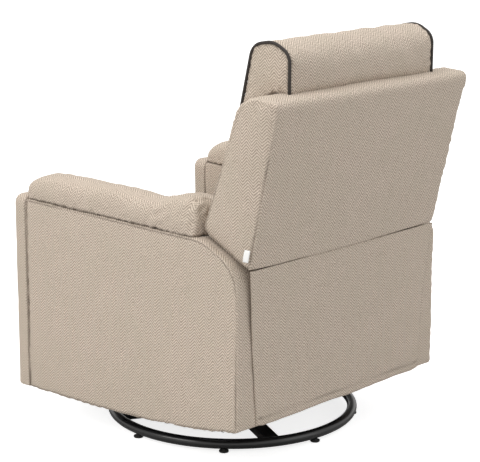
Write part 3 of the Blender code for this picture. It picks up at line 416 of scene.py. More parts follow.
# Remeshes a form and blows it up a little as cloth. Pinned points stay at their seam
def inflate(obj, voxel, cap, pinned=None):
    grid = obj.modifiers.new("grid", "REMESH")
    grid.mode, grid.voxel_size, grid.use_smooth_shade = "VOXEL", voxel, True
    applied(obj)
    before = getPoints(obj)
    sim = obj.modifiers.new("cloth", "CLOTH")
    if pinned is not None:
        held = pinned(before)
        group = obj.vertex_groups.new(name="held")
        for index in np.nonzero(held > 0.02)[0]:
            group.add([int(index)], float(held[index]), "REPLACE")
        sim.settings.vertex_group_mass = "held"
    sim.settings.quality = puffing["quality"]
    sim.settings.use_pressure = True
    sim.settings.uniform_pressure_force = puffing["pressure"]
    sim.settings.tension_stiffness = sim.settings.compression_stiffness = puffing["tension"]
    sim.settings.bending_stiffness = puffing["bending"]
    sim.settings.effector_weights.gravity = 0.0
    sim.point_cache.frame_start, sim.point_cache.frame_end = 1, puffing["frames"]
    for step in range(1, puffing["frames"] + 1):
        scene.frame_set(step)
    graph = bpy.context.evaluated_depsgraph_get()
    puffed = obj.evaluated_get(graph).to_mesh()
    after = np.zeros(len(puffed.vertices) * 3, np.float32)
    puffed.vertices.foreach_get("co", after)
    move = after.reshape(-1, 3).astype(float) - before
    obj.evaluated_get(graph).to_mesh_clear()
    obj.modifiers.clear()
    obj.vertex_groups.clear()
    scene.frame_set(1)
    size = np.linalg.norm(move, axis=1)
    limit = cap * np.tanh(size / cap) / np.maximum(size, 1e-9)
    setPoints(obj, before + move * limit[:, None])
    return obj


# Outlines and padded forms

# A closed outline through corners (a, b, radius), with points about one step apart
def rounded(corners, step=0.008):
    arcs = []
    count = len(corners)
    for i, (a, b, radius) in enumerate(corners):
        here = Vector((a, b))
        before = (Vector(corners[i - 1][:2]) - here).normalized()
        after = (Vector(corners[(i + 1) % count][:2]) - here).normalized()
        half = before.angle(after) / 2
        centre = here + (before + after).normalized() * radius / math.sin(half)
        start = here + before * radius / math.tan(half) - centre
        turn = 1 if before.x * after.y - before.y * after.x < 0 else -1
        sweep = math.pi - 2 * half
        pieces = max(3, int(radius * sweep / step) + 2)
        for k in range(pieces + 1):
            angle = turn * sweep * k / pieces
            c, s = math.cos(angle), math.sin(angle)
            arcs.append(centre + Vector((start.x * c - start.y * s, start.x * s + start.y * c)))
    outline = []
    for p, q in zip(arcs, arcs[1:] + arcs[:1]):
        outline.append(p)
        gaps = int((q - p).length / step)
        outline += [p.lerp(q, k / (gaps + 1)) for k in range(1, gaps + 1)]
    return outline


def outlineNormals(outline):
    area = sum(p.x * q.y - q.x * p.y for p, q in zip(outline, outline[1:] + outline[:1]))
    sign = 1 if area > 0 else -1
    result = []
    for i in range(len(outline)):
        along = (outline[(i + 1) % len(outline)] - outline[i - 1]).normalized()
        result.append(Vector((along.y, -along.x)) * sign)
    return result


def place(axis, level, a, b):
    return {"X": (level, a, b), "Y": (a, level, b), "Z": (a, b, level)}[axis]


# Two crowned panels with rounded edges, joined by a band round the outline
def paddedForm(name, outline, low, high, axis="X", edges=(0.008, 0.008), crowns=(0.004, 0.004),
               puff=0.0, bandRings=12, reachIn=0.05, cell=0.014):
    normals = outlineNormals(outline)
    count = len(outline)
    rim = np.array([tuple(p) for p in outline])
    gap = np.linalg.norm(rim - np.roll(rim, 1, axis=0), axis=1)
    bm = bmesh.new()

    # A smooth stand-in for the distance to the outline
    def depthInside(point):
        reach = np.maximum(np.linalg.norm(rim - np.array(tuple(point)), axis=1), 1e-4)
        return (math.pi / 2 / (gap / reach ** 4).sum()) ** (1 / 3)

    # The panel inside its rounded edge, then the rings of that edge
    def facePart(level, sign, edge, crown):
        border = [p - n * edge for p, n in zip(outline, normals)]
        lows, highs = rim.min(axis=0), rim.max(axis=0)
        fill = []
        for j in range(int((highs[1] - lows[1]) / (cell * 0.866)) + 1):
            for i in range(int((highs[0] - lows[0]) / cell) + 1):
                spot = Vector((lows[0] + cell * (i + 0.5 * (j % 2)), lows[1] + cell * 0.866 * j))
                if depthInside(spot) > edge + cell * 0.45 and insideOutline(spot, border):
                    fill.append(spot)
        sides = [(i, (i + 1) % count) for i in range(count)]
        spots, _, faces, *_ = delaunay_2d_cdt(border + fill, sides, [], 1, 1e-7)
        lift = [sign * crown * (1 - math.exp(-max(depthInside(q) - edge, 0) / reachIn)) for q in spots]
        verts = [bm.verts.new(place(axis, level + h, *q)) for q, h in zip(spots, lift)]
        for face in faces:
            bm.faces.new([verts[i] for i in face])
        part = [[(p.x, p.y, level + lift[i]) for i, p in enumerate(border)]]
        for k in range(1, 5):
            angle = 0.5 * math.pi * k / 4
            inset, drop = edge * (1 - math.sin(angle)), edge * (1 - math.cos(angle))
            part.append([(*(p - n * inset), level - sign * drop) for p, n in zip(outline, normals)])
        return part

    rings = facePart(high, 1, edges[1], crowns[1])
    start, stop = high - edges[1], low + edges[0]
    for k in range(1, bandRings):
        t = k / bandRings
        swell = puff * math.sin(math.pi * t) ** 0.7
        rings.append([(*(p + n * swell), start + (stop - start) * t) for p, n in zip(outline, normals)])
    rings += reversed(facePart(low, -1, edges[0], crowns[0]))
    loops = [[bm.verts.new(place(axis, level, a, b)) for a, b, level in ring] for ring in rings]
    for first, second in zip(loops, loops[1:]):
        for i in range(count):
            j = (i + 1) % count
            bm.faces.new((first[i], first[j], second[j], second[i]))
    bmesh.ops.remove_doubles(bm, verts=bm.verts, dist=2e-5)
    return linkMesh(name, bm, cloth)


# Whether a point is inside a closed outline, by the crossings to its right
def insideOutline(point, border):
    inside = False
    for p, q in zip(border, border[1:] + border[:1]):
        if (p.y > point.y) != (q.y > point.y) and point.x < p.x + (q.x - p.x) * (point.y - p.y) / (q.y - p.y):
            inside = not inside
    return inside


# Distance of each point from a line of points
def polylineDistance(points, line):
    best = np.full(len(points), 1e9)
    for p, q in zip(line, line[1:]):
        p, q = np.array(p, float), np.array(q, float)
        d = q - p
        t = np.clip(((points - p) @ d) / max(d @ d, 1e-12), 0, 1)
        best = np.minimum(best, np.linalg.norm(points - (p + t[:, None] * d), axis=1))
    return best


# Repeating things, as node trees
def newTree(name, *inputs):
    tree = bpy.data.node_groups.new(name, "GeometryNodeTree")
    tree.interface.new_socket(name="Geometry", in_out="INPUT", socket_type="NodeSocketGeometry")
    keys = {}
    for label, kind, value in inputs:
        socket = tree.interface.new_socket(name=label, in_out="INPUT", socket_type=kind)
        if value is not None:
            socket.default_value = value
        keys[label] = socket.identifier
    tree.interface.new_socket(name="Geometry", in_out="OUTPUT", socket_type="NodeSocketGeometry")
    return tree, keys, tree.nodes.new("NodeGroupInput"), tree.nodes.new("NodeGroupOutput")


# Realize the instances, shade them smooth and give them the tree's material
def closeTree(tree, start, end, geometry):
    real = tree.nodes.new("GeometryNodeRealizeInstances")
    smooth = tree.nodes.new("GeometryNodeSetShadeSmooth")
    paint = tree.nodes.new("GeometryNodeSetMaterial")
    tree.links.new(geometry, real.inputs[0])
    tree.links.new(real.outputs[0], smooth.inputs[0])
    tree.links.new(smooth.outputs[0], paint.inputs[0])
    tree.links.new(start.outputs["Material"], paint.inputs["Material"])
    tree.links.new(paint.outputs[0], end.inputs[0])


# Thread stitches laid end to end along a curve
def makeStitchTree():
    tree, keys, start, end = newTree(
        "stitchRow", ("Spacing", "NodeSocketFloat", 0.006), ("Length", "NodeSocketFloat", 0.004),
        ("Thickness", "NodeSocketFloat", 0.0007), ("Material", "NodeSocketMaterial", None))
    cut = tree.nodes.new("GeometryNodeResampleCurve")
    cut.mode = "LENGTH"
    tangent = tree.nodes.new("GeometryNodeInputTangent")
    turn = tree.nodes.new("FunctionNodeAlignRotationToVector")
    turn.axis = "Z"
    bead = tree.nodes.new("GeometryNodeMeshUVSphere")
    bead.inputs["Segments"].default_value, bead.inputs["Rings"].default_value = 6, 4
    bead.inputs["Radius"].default_value = 0.5
    size = tree.nodes.new("ShaderNodeCombineXYZ")
    copies = tree.nodes.new("GeometryNodeInstanceOnPoints")
    links = tree.links
    links.new(start.outputs["Geometry"], cut.inputs["Curve"])
    links.new(start.outputs["Spacing"], cut.inputs["Length"])
    links.new(cut.outputs[0], copies.inputs["Points"])
    links.new(bead.outputs["Mesh"], copies.inputs["Instance"])
    links.new(tangent.outputs[0], turn.inputs["Vector"])
    links.new(turn.outputs[0], copies.inputs["Rotation"])
    for axis, label in enumerate(("Thickness", "Thickness", "Length")):
        links.new(start.outputs[label], size.inputs[axis])
    links.new(size.outputs[0], copies.inputs["Scale"])
    closeTree(tree, start, end, copies.outputs[0])
    return tree, keys


# Round heads, such as rivets, on the points of a mesh, facing along X or Z
def makeButtonTree():
    tree, keys, start, end = newTree(
        "headsOnPoints", ("Radius", "NodeSocketFloat", 0.006), ("Height", "NodeSocketFloat", 0.003),
        ("Turn", "NodeSocketVector", None), ("Material", "NodeSocketMaterial", None))
    head = tree.nodes.new("GeometryNodeMeshUVSphere")
    head.inputs["Segments"].default_value, head.inputs["Rings"].default_value = 16, 8
    head.inputs["Radius"].default_value = 1.0
    size = tree.nodes.new("ShaderNodeCombineXYZ")
    copies = tree.nodes.new("GeometryNodeInstanceOnPoints")
    links = tree.links
    links.new(start.outputs["Geometry"], copies.inputs["Points"])
    links.new(head.outputs["Mesh"], copies.inputs["Instance"])
    links.new(start.outputs["Turn"], copies.inputs["Rotation"])
    for axis, label in enumerate(("Radius", "Radius", "Height")):
        links.new(start.outputs[label], size.inputs[axis])
    links.new(size.outputs[0], copies.inputs["Scale"])
    closeTree(tree, start, end, copies.outputs[0])
    return tree, keys


stitchTree, stitchKeys = makeStitchTree()
buttonTree, buttonKeys = makeButtonTree()


def runTree(obj, tree, keys, values):
    mod = obj.modifiers.new("made", "NODES")
    mod.node_group = tree
    for label, value in values.items():
        mod[keys[label]] = value
    graph = bpy.context.evaluated_depsgraph_get()
    mesh = bpy.data.meshes.new_from_object(obj.evaluated_get(graph))
    made = bpy.data.objects.new(obj.name + "Set", mesh)
    name = obj.name
    bpy.data.objects.remove(obj)
    made.name = name
    scene.collection.objects.link(made)
    return made


def stitchRows(name, lines, body, slot, spacing=0.0065, length=0.0045, thickness=0.0008, material=None):
    curve = bpy.data.curves.new(name, "CURVE")
    curve.dimensions = "3D"
    for line in lines:
        spline = curve.splines.new("POLY")
        spline.points.add(len(line) - 1)
        for point, at in zip(spline.points, line):
            point.co = (*at, 1)
    obj = bpy.data.objects.new(name, curve)
    scene.collection.objects.link(obj)
    made = runTree(obj, stitchTree, stitchKeys, dict(
        Spacing=spacing, Length=length, Thickness=thickness, Material=material or threadYarn))
    return settle(made, body, slot)


def rivetHeads(name, points, body, radius=0.006, height=0.0022, material=None, turn=(0, math.pi / 2, 0)):
    mesh = bpy.data.meshes.new(name)
    mesh.from_pydata(points, [], [])
    obj = bpy.data.objects.new(name, mesh)
    scene.collection.objects.link(obj)
    made = runTree(obj, buttonTree, buttonKeys, dict(
        Radius=radius, Height=height, Turn=turn, Material=material or zincSteel))
    return settle(made, body, "zinc_steel")


# Drops a line of points onto a piece's surface, coming from outside it
def surfaceLine(obj, line, outwards, lift=0.0004):
    graph = bpy.context.evaluated_depsgraph_get()
    shown = obj.evaluated_get(graph)
    result = []
    for p in line:
        hit, at, normal, _ = shown.ray_cast(Vector(p) + Vector(outwards) * 0.08, -Vector(outwards))
        if hit:
            result.append(at + normal * lift)
    return result


# A round cord or tube, as a closed mesh with rounded ends
def tubeAlong(name, line, radius, material, sides=12):
    line = [Vector(p) for p in line]
    count = len(line)
    bm = bmesh.new()
    loops = []
    side = None
    for i, p in enumerate(line):
        ahead, behind = line[min(i + 1, count - 1)], line[max(i - 1, 0)]
        along = (ahead - behind).normalized()
        side = (side - along * side.dot(along)).normalized() if side else along.orthogonal().normalized()
        up = along.cross(side)
        loops.append([bm.verts.new(p + (side * math.cos(t) + up * math.sin(t)) * radius)
                      for t in (2 * math.pi * k / sides for k in range(sides))])
    for a, b in zip(loops, loops[1:]):
        for k in range(sides):
            j = (k + 1) % sides
            bm.faces.new((a[k], a[j], b[j], b[k]))
    for loop, p, q in ((loops[0], line[0], line[1]), (loops[-1], line[-1], line[-2])):
        tip = bm.verts.new(p + (p - q).normalized() * radius * 0.6)
        for k in range(sides):
            bm.faces.new((loop[k], loop[(k + 1) % sides], tip))
    return linkMesh(name, bm, material)


print("tools ready")


# Arms
arm = dict(clear=0.2801, topFront=0.566, topRear=0.5555, slopeStart=0.218, slopeRear=0.4996,
           rear=0.329, front=-0.384, hemFront=0.0745, hemRear=0.118, hemCurve=3.0,
           edge=0.006, crown=0.0022, sag=0.0016)
armStitch = dict(inset=0.0075, low=0.09, length=0.47, steps=90)
staple = dict(spread=0.036, start=0.02, run=0.67, steps=22, sink=0.0006, radius=0.0009, length=0.0055)


def hemHeight(y):
    t = max((y - arm["front"]) / (arm["rear"] - arm["front"]), 0)
    return arm["hemFront"] + (arm["hemRear"] - arm["hemFront"]) * t ** arm["hemCurve"]


def armTop(y):
    t = (y - arm["front"]) / (arm["slopeStart"] - arm["front"])
    return arm["topFront"] + (arm["topRear"] - arm["topFront"]) * t


def armOutline(step=0.010, inset=0.0):
    hem = [(y, hemHeight(y) + inset, 0.6) for y in (-0.12, 0.06, 0.19)]
    return rounded([(arm["front"] + inset, arm["hemFront"] + inset, 0.006)] + hem + [
        (arm["rear"] - inset, arm["hemRear"] + inset, 0.010), (arm["rear"] - inset, arm["slopeRear"], 0.088),
        (arm["slopeStart"], arm["topRear"] - inset, 0.10),
        (arm["front"] + inset, arm["topFront"] - inset, 0.006)], step)


def makeArm(side, name):
    low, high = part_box(f"arm_shell_{name}")
    cover = paddedForm(f"armCover_{name}", armOutline(), low.x, high.x, "X", (arm["edge"],) * 2,
                       (arm["crown"],) * 2, 0.0, 10)
    subdivide(cover)
    outer = high.x if side > 0 else low.x
    ruffle(cover, 0.20, arm["sag"], 11 + side)
    seam = [(outer, p.x, p.y) for p in armOutline(1.0, 0.0035)]
    seam.append(seam[0])
    pressSeam(cover, lambda p: polylineDistance(p, seam), 0.0022, 0.0016)
    pucker(cover, lambda p: polylineDistance(p, seam), 0.018, 0.016, 0.0008, 3)
    points = getPoints(cover)
    inside = side * points[:, 0] < arm["clear"]
    points[inside, 0] = side * arm["clear"]
    setPoints(cover, points)
    for face in cover.data.polygons:
        if face.normal.z < -0.8 and face.center.z < 0.14:
            face.material_index = 1
    cover.data.materials.append(liningCloth)
    if side < 0:
        sitBezel(cover)
    settle(cover, "chair", "fabric", f"arm_shell_{name}")
    front = [(outer * 1.05, arm["front"] + armStitch["inset"],
              armStitch["low"] + armStitch["length"] * k / armStitch["steps"])
             for k in range(armStitch["steps"] + 1)]
    stitchRows(f"armStitches_{name}", [surfaceLine(cover, front, (side, 0, 0))], "chair", "fabric")
    inner = low.x if side > 0 else high.x
    hem = [((inner + outer) / 2 + sx * staple["spread"],
            arm["front"] + staple["start"] + staple["run"] * k / staple["steps"])
           for sx in (-1, 1) for k in range(staple["steps"] + 1)]
    rivetHeads(f"armStaples_{name}", [(x, y, hemHeight(y) - staple["sink"]) for x, y in hem], "chair",
               staple["radius"], staple["length"], turn=(math.pi / 2, 0, 0))


recess = dict(y=-0.199, z=0.420, halfY=0.0640, halfZ=0.0320, depth=0.0245, flange=0.013)


# Presses the cover flat under the release handle's frame, and opens it for the cup
def sitBezel(cover):
    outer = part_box("arm_shell_right")[0].x
    points = getPoints(cover)
    away = np.maximum(np.maximum(np.abs(points[:, 1] - recess["y"]) - recess["halfY"] - recess["flange"],
                                 np.abs(points[:, 2] - recess["z"]) - recess["halfZ"] - recess["flange"]), 0)
    outside = points[:, 0] < outer + 0.02
    share = np.where(outside, np.exp(-(away / 0.020) ** 2), 0)
    points[:, 0] = points[:, 0] * (1 - share) + (outer + 0.0004) * share
    setPoints(cover, points)
    carve(cover, (outer - 0.03, recess["y"] - recess["halfY"], recess["z"] - recess["halfZ"]),
          (outer + recess["depth"], recess["y"] + recess["halfY"], recess["z"] + recess["halfZ"]))


armPad = dict(rear=0.1935, crown=0.070, base=0.0006, lip=0.004, roundness=0.60)
padStations = ((0.0, 0.50), (0.012, 0.66), (0.028, 0.76), (0.06, 0.87), (0.10, 0.95), (0.167, 1.01),
               (0.24, 1.015), (0.33, 1.0), (0.50, 1.02), (0.625, 1.0), (0.74, 0.96), (0.79, 0.98),
               (0.82, 1.08), (0.886, 1.23), (0.94, 1.28), (0.97, 1.25), (0.985, 1.12), (0.994, 0.95),
               (1.0, 0.70))


def padHeight(share):
    spots = [s for s, _ in padStations]
    k = max(i for i in range(len(spots) - 1) if spots[i] <= share + 1e-9)
    t = (share - spots[k]) / (spots[k + 1] - spots[k])
    t = t * t * (3 - 2 * t)
    return padStations[k][1] * (1 - t) + padStations[k + 1][1] * t


# How wide the roll is near an end, as a share of its full width
def endWidth(share, reach, least):
    return least + (1 - least) * math.sqrt(min(1, share / reach))


# A soft roll: a bump in front, a dip, and a second bump that ends round against the backrest
def makeArmPad(side, name):
    low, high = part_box(f"arm_pad_{name}")
    half, centre = (high.x - low.x) / 2 - 0.001, (high.x + low.x) / 2
    front, rear = arm["front"] + 0.0006, armPad["rear"]
    bm = bmesh.new()
    loops = []
    steps, arcSteps = 84, 28
    for k in range(steps + 1):
        share = k / steps
        y = front + (rear - front) * share
        tight = min(1.0, endWidth(share, 0.03, 0.86), endWidth(1 - share, 0.05, 0.74))
        tall = armPad["crown"] * padHeight(share)
        ring = []
        for j in range(arcSteps + 1):
            angle = math.pi * j / arcSteps
            c, s = math.cos(angle), math.sin(angle)
            x = centre + half * tight * math.copysign(abs(c) ** armPad["roundness"], c)
            rise = (tall - armPad["lip"]) * s ** armPad["roundness"]
            ring.append((x, y, armTop(y) + armPad["lip"] + rise))
        ring += [(centre + half * tight * u, y, armTop(y) + armPad["base"])
                 for u in (-0.97, -0.5, 0, 0.5, 0.97)]
        loops.append([bm.verts.new(p) for p in ring])
    count = len(loops[0])
    for a, b in zip(loops, loops[1:]):
        for i in range(count):
            j = (i + 1) % count
            bm.faces.new((a[i], a[j], b[j], b[i]))
    for loop in (loops[0], loops[-1]):
        hub = bm.verts.new(sum((v.co for v in loop), Vector()) / count)
        for i in range(count):
            bm.faces.new((loop[i], loop[(i + 1) % count], hub))
    pad = linkMesh(f"armPad_{name}", bm, cloth)
    above = lambda p: p[:, 2] - np.array([armTop(y) for y in p[:, 1]])
    inflate(pad, 0.006, 0.004, lambda p: np.clip(1.4 - above(p) / 0.012, 0, 1))
    subdivide(pad)
    ruffle(pad, 0.09, 0.0022, 14 + side, lambda p: np.clip(above(p) / 0.02, 0, 1))
    seam = lambda p: np.abs(above(p) - 0.003) + 1e-4
    pressSeam(pad, seam, 0.003, 0.0008)
    pucker(pad, seam, 0.018, 0.014, 0.0011, 5)
    pucker(pad, lambda p: np.abs(p[:, 1] - rear + 0.012), 0.03, 0.020, 0.0018, 8)
    pucker(pad, lambda p: np.abs(p[:, 1] - 0.075), 0.03, 0.024, 0.0016, 9)
    settle(pad, "chair", "fabric", f"arm_pad_{name}")


fascia = dict(round=0.014, corner=0.022)


def makeFascia(side, name):
    low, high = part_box(f"arm_front_{name}")
    outline = rounded([(high.x, low.z, 0.006), (high.x, high.z - 0.002, fascia["corner"]),
                       (low.x, high.z - 0.002, fascia["corner"]), (low.x, low.z, 0.006)], 0.008)
    strip = paddedForm(f"armFront_{name}", outline, low.y, high.y, "Y", (fascia["round"], 0.003),
                       (0.002, 0.0), 0.0006, 10)
    subdivide(strip)
    ruffle(strip, 0.12, 0.0011, 19 + side)
    pressSeam(strip, lambda p: np.abs(p[:, 1] - high.y + 0.0018), 0.0022, 0.0012)
    pucker(strip, lambda p: np.abs(p[:, 1] - high.y), 0.014, 0.016, 0.0008, 12)
    settle(strip, "chair", "fabric", f"arm_front_{name}")


for side, name in ((1, "left"), (-1, "right")):
    makeArm(side, name)
    makeArmPad(side, name)
    makeFascia(side, name)
print("arms made", round(time.time() - began, 1))


# Backrest
back = dict(seamY=0.343, seamZ=0.497, lean=math.radians(12.7), height=0.400, depthLow=0.160, depthTop=0.109,
            lowRise=0.040, topDrop=0.012, width=0.698, edge=0.007, crown=0.010,
            flare=0.010, flareLow=0.62, flareRun=0.26)


def onBack(up, forward):
    s, c = math.sin(back["lean"]), math.cos(back["lean"])
    return (back["seamY"] + up * s - forward * c, back["seamZ"] + up * c + forward * s)


def backOutline(corners, step=0.009):
    return rounded([(*onBack(up, forward), radius) for up, forward, radius in corners], step)


def backSide(step=0.009, inset=0.0):
    return backOutline([(inset, inset, 0.006), (back["height"] - inset, inset, 0.016),
                        (back["height"] - back["topDrop"] - inset, back["depthTop"] - inset, 0.066),
                        (back["lowRise"] + inset, back["depthLow"] - inset, 0.024)], step)


# The boxed backrest: two side panels, joined by one cover that runs over the rear and the top
def makeBackBody():
    half = back["width"] / 2
    body = paddedForm("backBody", backSide(), -half, half, "X", (back["edge"],) * 2, (back["crown"],) * 2,
                      0.0035, 44, 0.035)
    subdivide(body)
    points = getPoints(body)
    rise = np.clip((points[:, 2] - back["flareLow"]) / back["flareRun"], 0, 1)
    points[:, 0] *= 1 + rise ** 2 * back["flare"] / half
    setPoints(body, points)
    ruffle(body, 0.15, 0.0015, 21)
    seams = [[(side * half, p.x, p.y) for p in backSide(1.0, 0.004)] for side in (1, -1)]
    for seam in seams:
        seam.append(seam[0])
        pressSeam(body, lambda p: polylineDistance(p, seam), 0.0024, 0.0018)
        pucker(body, lambda p: polylineDistance(p, seam), 0.022, 0.016, 0.0007, 22)
    corners = [Vector((side * half, *onBack(back["height"] - 0.02, 0.05))) for side in (1, -1)]
    for corner in corners:
        pucker(body, lambda p: np.linalg.norm(p - np.array(corner), axis=1), 0.045, 0.022, 0.0016, 23)
    settle(body, "back", "fabric", "back_shell")
    rows = []
    for side in (1, -1):
        path = [(side * 0.42, p.x, p.y) for p in backSide(0.012, 0.0085)]
        rows.append(surfaceLine(body, path + path[:1], (side, 0, 0)))
    stitchRows("backStitches", rows, "back", "fabric")


# A lumbar roll between the arms and a wider shoulder roll above them
def makeBackCushions():
    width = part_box("seat_cushion")[1].x - 0.003
    lumbar = paddedForm("lumbarCushion", backOutline([
        (0.012, 0.120, 0.02), (0.140, 0.120, 0.02), (0.146, 0.190, 0.040), (-0.022, 0.200, 0.040)]),
        -width, width, "X", (0.030,) * 2, (0.004,) * 2, 0.006, 26)
    shoulder = paddedForm("shoulderCushion", backOutline([
        (0.158, 0.090, 0.02), (0.300, 0.080, 0.02), (0.292, 0.160, 0.036), (0.150, 0.182, 0.044)]),
        -0.306, 0.306, "X", (0.034,) * 2, (0.004,) * 2, 0.004, 30)
    for piece, nodes in ((lumbar, ("back_cushion",)), (shoulder, ())):
        inflate(piece, 0.007, 0.012)
        subdivide(piece)
        ruffle(piece, 0.09, 0.003, 31)
        settle(piece, "back", "fabric", *nodes)


headrest = dict(half=0.266, front=0.179, edge=0.006, crown=0.009, pipe=0.0037)


def headrestOutline(step=0.007):
    return backOutline([(0.393, 0.045, 0.003), (0.484, 0.065, 0.035), (0.499, 0.118, 0.060),
                        (0.474, 0.177, 0.040), (0.262, headrest["front"], 0.030), (0.264, 0.136, 0.010),
                        (0.330, 0.126, 0.030), (0.385, 0.100, 0.040)], step)


def makeHeadrest():
    outline = headrestOutline()
    half = headrest["half"]
    pillow = paddedForm("headrestPillow", outline, -half, half, "X", (headrest["edge"],) * 2,
                        (headrest["crown"],) * 2, 0.001, 36)
    rims = [[(side * (half - 0.001), p.x, p.y) for p in headrestOutline(0.03)] for side in (1, -1)]
    nearRim = lambda p: np.minimum(polylineDistance(p, rims[0]), polylineDistance(p, rims[1]))
    inflate(pillow, 0.0055, 0.006, lambda p: np.exp(-(nearRim(p) / 0.008) ** 2))
    subdivide(pillow)
    ruffle(pillow, 0.08, 0.0014, 41)
    pucker(pillow, nearRim, 0.028, 0.015, 0.0012, 42)
    pressSeam(pillow, nearRim, 0.006, 0.0015)
    settle(pillow, "back", "fabric", "headrest_pillow")
    normals = outlineNormals(outline)
    keep = [i for i, p in enumerate(outline) if p.y > onBack(back["height"] - 0.139, 0.15)[1]]
    for side, name in ((1, "left"), (-1, "right")):
        start = min(range(len(outline)), key=lambda i: (outline[i] - Vector(onBack(0.396, 0.047))).length)
        line = []
        for k in range(len(outline)):
            i = (start + k) % len(outline)
            p, n = outline[i], normals[i]
            if i in keep:
                line.append((side * (half - 0.0008), *(p - n * 0.0012)))
            if (p - Vector(onBack(back["height"] - 0.137, 0.150))).length < 0.008:
                break
        cord = tubeAlong(f"headrestPiping_{name}", line, headrest["pipe"], pipingCloth)
        settle(cord, "back", "piping", f"headrest_piping_{name}")
    return pillow


makeBackBody()
makeBackCushions()
makeHeadrest()
print("backrest made", round(time.time() - began, 1))


# Seat and footrest
def makeSeat():
    low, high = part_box("seat_cushion")
    corners = [(low.x + 0.004, low.y + 0.006, 0.045), (high.x - 0.004, low.y + 0.006, 0.045),
               (high.x - 0.004, high.y - 0.004, 0.03), (low.x + 0.004, high.y - 0.004, 0.03)]
    seat = paddedForm("seatCushion", rounded(corners, 0.011), low.z + 0.001, high.z - 0.014, "Z",
                      (0.020, 0.034), (0.0, 0.006), 0.004, 8)
    inflate(seat, 0.0075, 0.010)
    subdivide(seat)
    ruffle(seat, 0.12, 0.0035, 51)
    rim = [(p.x, p.y, high.z - 0.034) for p in rounded(corners, 0.02)]
    rim.append(rim[0])
    pressSeam(seat, lambda p: np.abs(p[:, 2] - (high.z - 0.036)) + 1e-4, 0.0035, 0.0028)
    pucker(seat, lambda p: np.abs(p[:, 2] - (high.z - 0.036)), 0.022, 0.016, 0.0022, 52)
    settle(seat, "chair", "fabric", "seat_cushion")


def makeFootrestPad():
    low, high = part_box("footrest_cushion")
    corners = [(low.x + 0.003, low.z + 0.003, 0.022), (high.x - 0.003, low.z + 0.003, 0.022),
               (high.x - 0.003, high.z - 0.003, 0.022), (low.x + 0.003, high.z - 0.003, 0.022)]
    pad = paddedForm("footrestPad", rounded(corners, 0.010), low.y + 0.006, high.y, "Y",
                     (0.018, 0.002), (0.004, 0.0), 0.001, 6)
    inflate(pad, 0.0065, 0.006, lambda p: np.clip((p[:, 1] - high.y + 0.010) / 0.006, 0, 1))
    subdivide(pad)
    ruffle(pad, 0.10, 0.0025, 61)
    settle(pad, "footrest", "fabric", "footrest_cushion")


makeSeat()
makeFootrestPad()
print("seat and footrest made", round(time.time() - began, 1))


# Rear skirt and label
skirt = dict(thick=0.0026, wave=0.0022, taper=0.036, taperCurve=0.85, sideGap=0.004, rearGap=0.0012,
             fall=0.5, fallCurve=0.8, droop=0.0009, cornerDrop=0.005, corner=0.93, cornerRun=0.07,
             hemSeam=0.020)


# A loose flap from the backrest's bottom seam, narrower at its hem and free there
def makeSkirt():
    low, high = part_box("rear_skirt")
    top = back["seamZ"] + 0.001
    bm = bmesh.new()
    across, down = 110, 64
    grid = []
    for j in range(down + 1):
        t = j / down
        row = []
        for i in range(across + 1):
            u = i / across * 2 - 1
            half = high.x - skirt["sideGap"] - skirt["taper"] * t ** skirt["taperCurve"]
            fallen = min(1, t / skirt["fall"]) ** skirt["fallCurve"]
            y = back["seamY"] - skirt["rearGap"] + (low.y + skirt["rearGap"] - back["seamY"]) * fallen
            sway = skirt["wave"] * t * t * (0.6 * math.sin(5.1 * u + 0.6) + 0.4 * math.sin(11.3 * u + 2.0))
            droop = (skirt["droop"] * t * math.sin(7.3 * u + 0.5)
                     + skirt["cornerDrop"] * t * max(0, abs(u) - skirt["corner"]) / skirt["cornerRun"])
            row.append(bm.verts.new((half * u, y + max(sway, -0.0006), top + (low.z - top) * t + droop)))
        grid.append(row)
    for a, b in zip(grid, grid[1:]):
        for i in range(across):
            bm.faces.new((a[i], a[i + 1], b[i + 1], b[i]))
    flap = linkMesh("rearSkirt", bm, cloth)
    if flap.data.polygons[0].normal.y < 0:
        flap.data.flip_normals()
    wall = flap.modifiers.new("wall", "SOLIDIFY")
    wall.thickness, wall.offset = skirt["thick"], 1.0
    applied(flap)
    ruffle(flap, 0.12, 0.0016, 71, lambda p: np.clip((top - p[:, 2]) / 0.1, 0, 1))
    pressSeam(flap, lambda p: np.abs(p[:, 2] - (low.z + skirt["hemSeam"])), 0.0020, 0.0006)
    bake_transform(flap)
    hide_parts("rear_skirt")


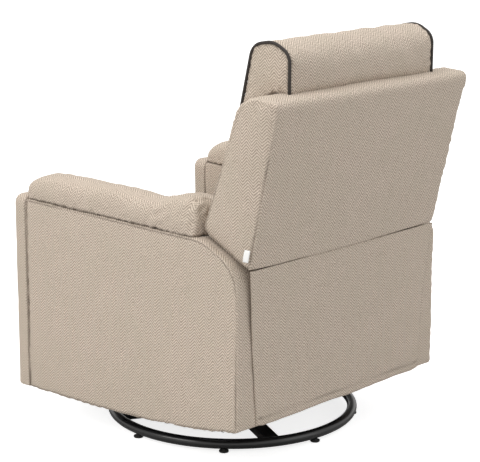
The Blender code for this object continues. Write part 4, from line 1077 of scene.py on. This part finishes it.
# A small blank tag sewn into the side seam
def makeLabel():
    bm = bmesh.new()
    tag = dict(rear=0.3485, length=0.016, low=0.522, high=0.551, out=0.3600, thick=0.0007,
               lean=0.22, bulge=0.0016, steps=8)
    rows = []
    for k in range(tag["steps"] + 1):
        t = k / tag["steps"]
        z = tag["low"] + (tag["high"] - tag["low"]) * t
        rear = tag["rear"] + (z - tag["low"]) * tag["lean"]
        rows.append([(tag["out"] + tag["bulge"] * math.sin(math.pi * t) * s, rear - tag["length"] * s, z)
                     for s in (0, 0.25, 0.5, 0.75, 1.0)])
    verts = [[bm.verts.new(p) for p in row] for row in rows]
    for a, b in zip(verts, verts[1:]):
        for i in range(4):
            bm.faces.new((a[i], a[i + 1], b[i + 1], b[i]))
    label = linkMesh("careTag", bm, labelCloth)
    wall = label.modifiers.new("wall", "SOLIDIFY")
    wall.thickness = tag["thick"]
    applied(label)
    settle(label, "back", "fabric")


makeSkirt()
makeLabel()
print("skirt and label made")


# Base
base = dict(centreY=-0.025, ring=0.3084, tube=0.0125, ringZ=0.0205)


def makeRing():
    bm = bmesh.new()
    around, sides = 168, 20
    loops = []
    for k in range(around):
        a = 2 * math.pi * k / around
        loops.append([bm.verts.new((
            (base["ring"] + base["tube"] * math.cos(t)) * math.cos(a),
            base["centreY"] + (base["ring"] + base["tube"] * math.cos(t)) * math.sin(a),
            base["ringZ"] + base["tube"] * math.sin(t)))
            for t in (2 * math.pi * j / sides for j in range(sides))])
    for k in range(around):
        a, b = loops[k], loops[(k + 1) % around]
        for j in range(sides):
            bm.faces.new((a[j], a[(j + 1) % sides], b[(j + 1) % sides], b[j]))
    settle(linkMesh("baseRing", bm, blackPaint), "base", "black_steel", "base_ring")


makeRing()
print("base made")

floorMesh = bpy.data.meshes.new("floor")
floorMesh.from_pydata([(-30, -30, 0), (30, -30, 0), (30, 30, 0), (-30, 30, 0)], [], [(0, 1, 2, 3)])
floor = bpy.data.objects.new("floor", floorMesh)
scene.collection.objects.link(floor)
floorPaint = grainyMaterial("paleFloor", (0.62, 0.62, 0.62), (0.64, 0.64, 0.64), 0.7, 0, 40, 0.0)
floorShader = floorPaint.node_tree.nodes["Principled BSDF"]
floorShader.inputs["Emission Color"].default_value = (1, 1, 1, 1)
floorWires = Wires(floorPaint.node_tree)
seenFloor = floorWires.node("ShaderNodeLightPath").outputs["Is Camera Ray"]
floorWires.feed(floorShader.inputs["Emission Strength"],
                floorWires.math("MULTIPLY", seenFloor, studio["glow"]))
floorMesh.materials.append(floorPaint)

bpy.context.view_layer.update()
print("scene ready", round(time.time() - began, 1))
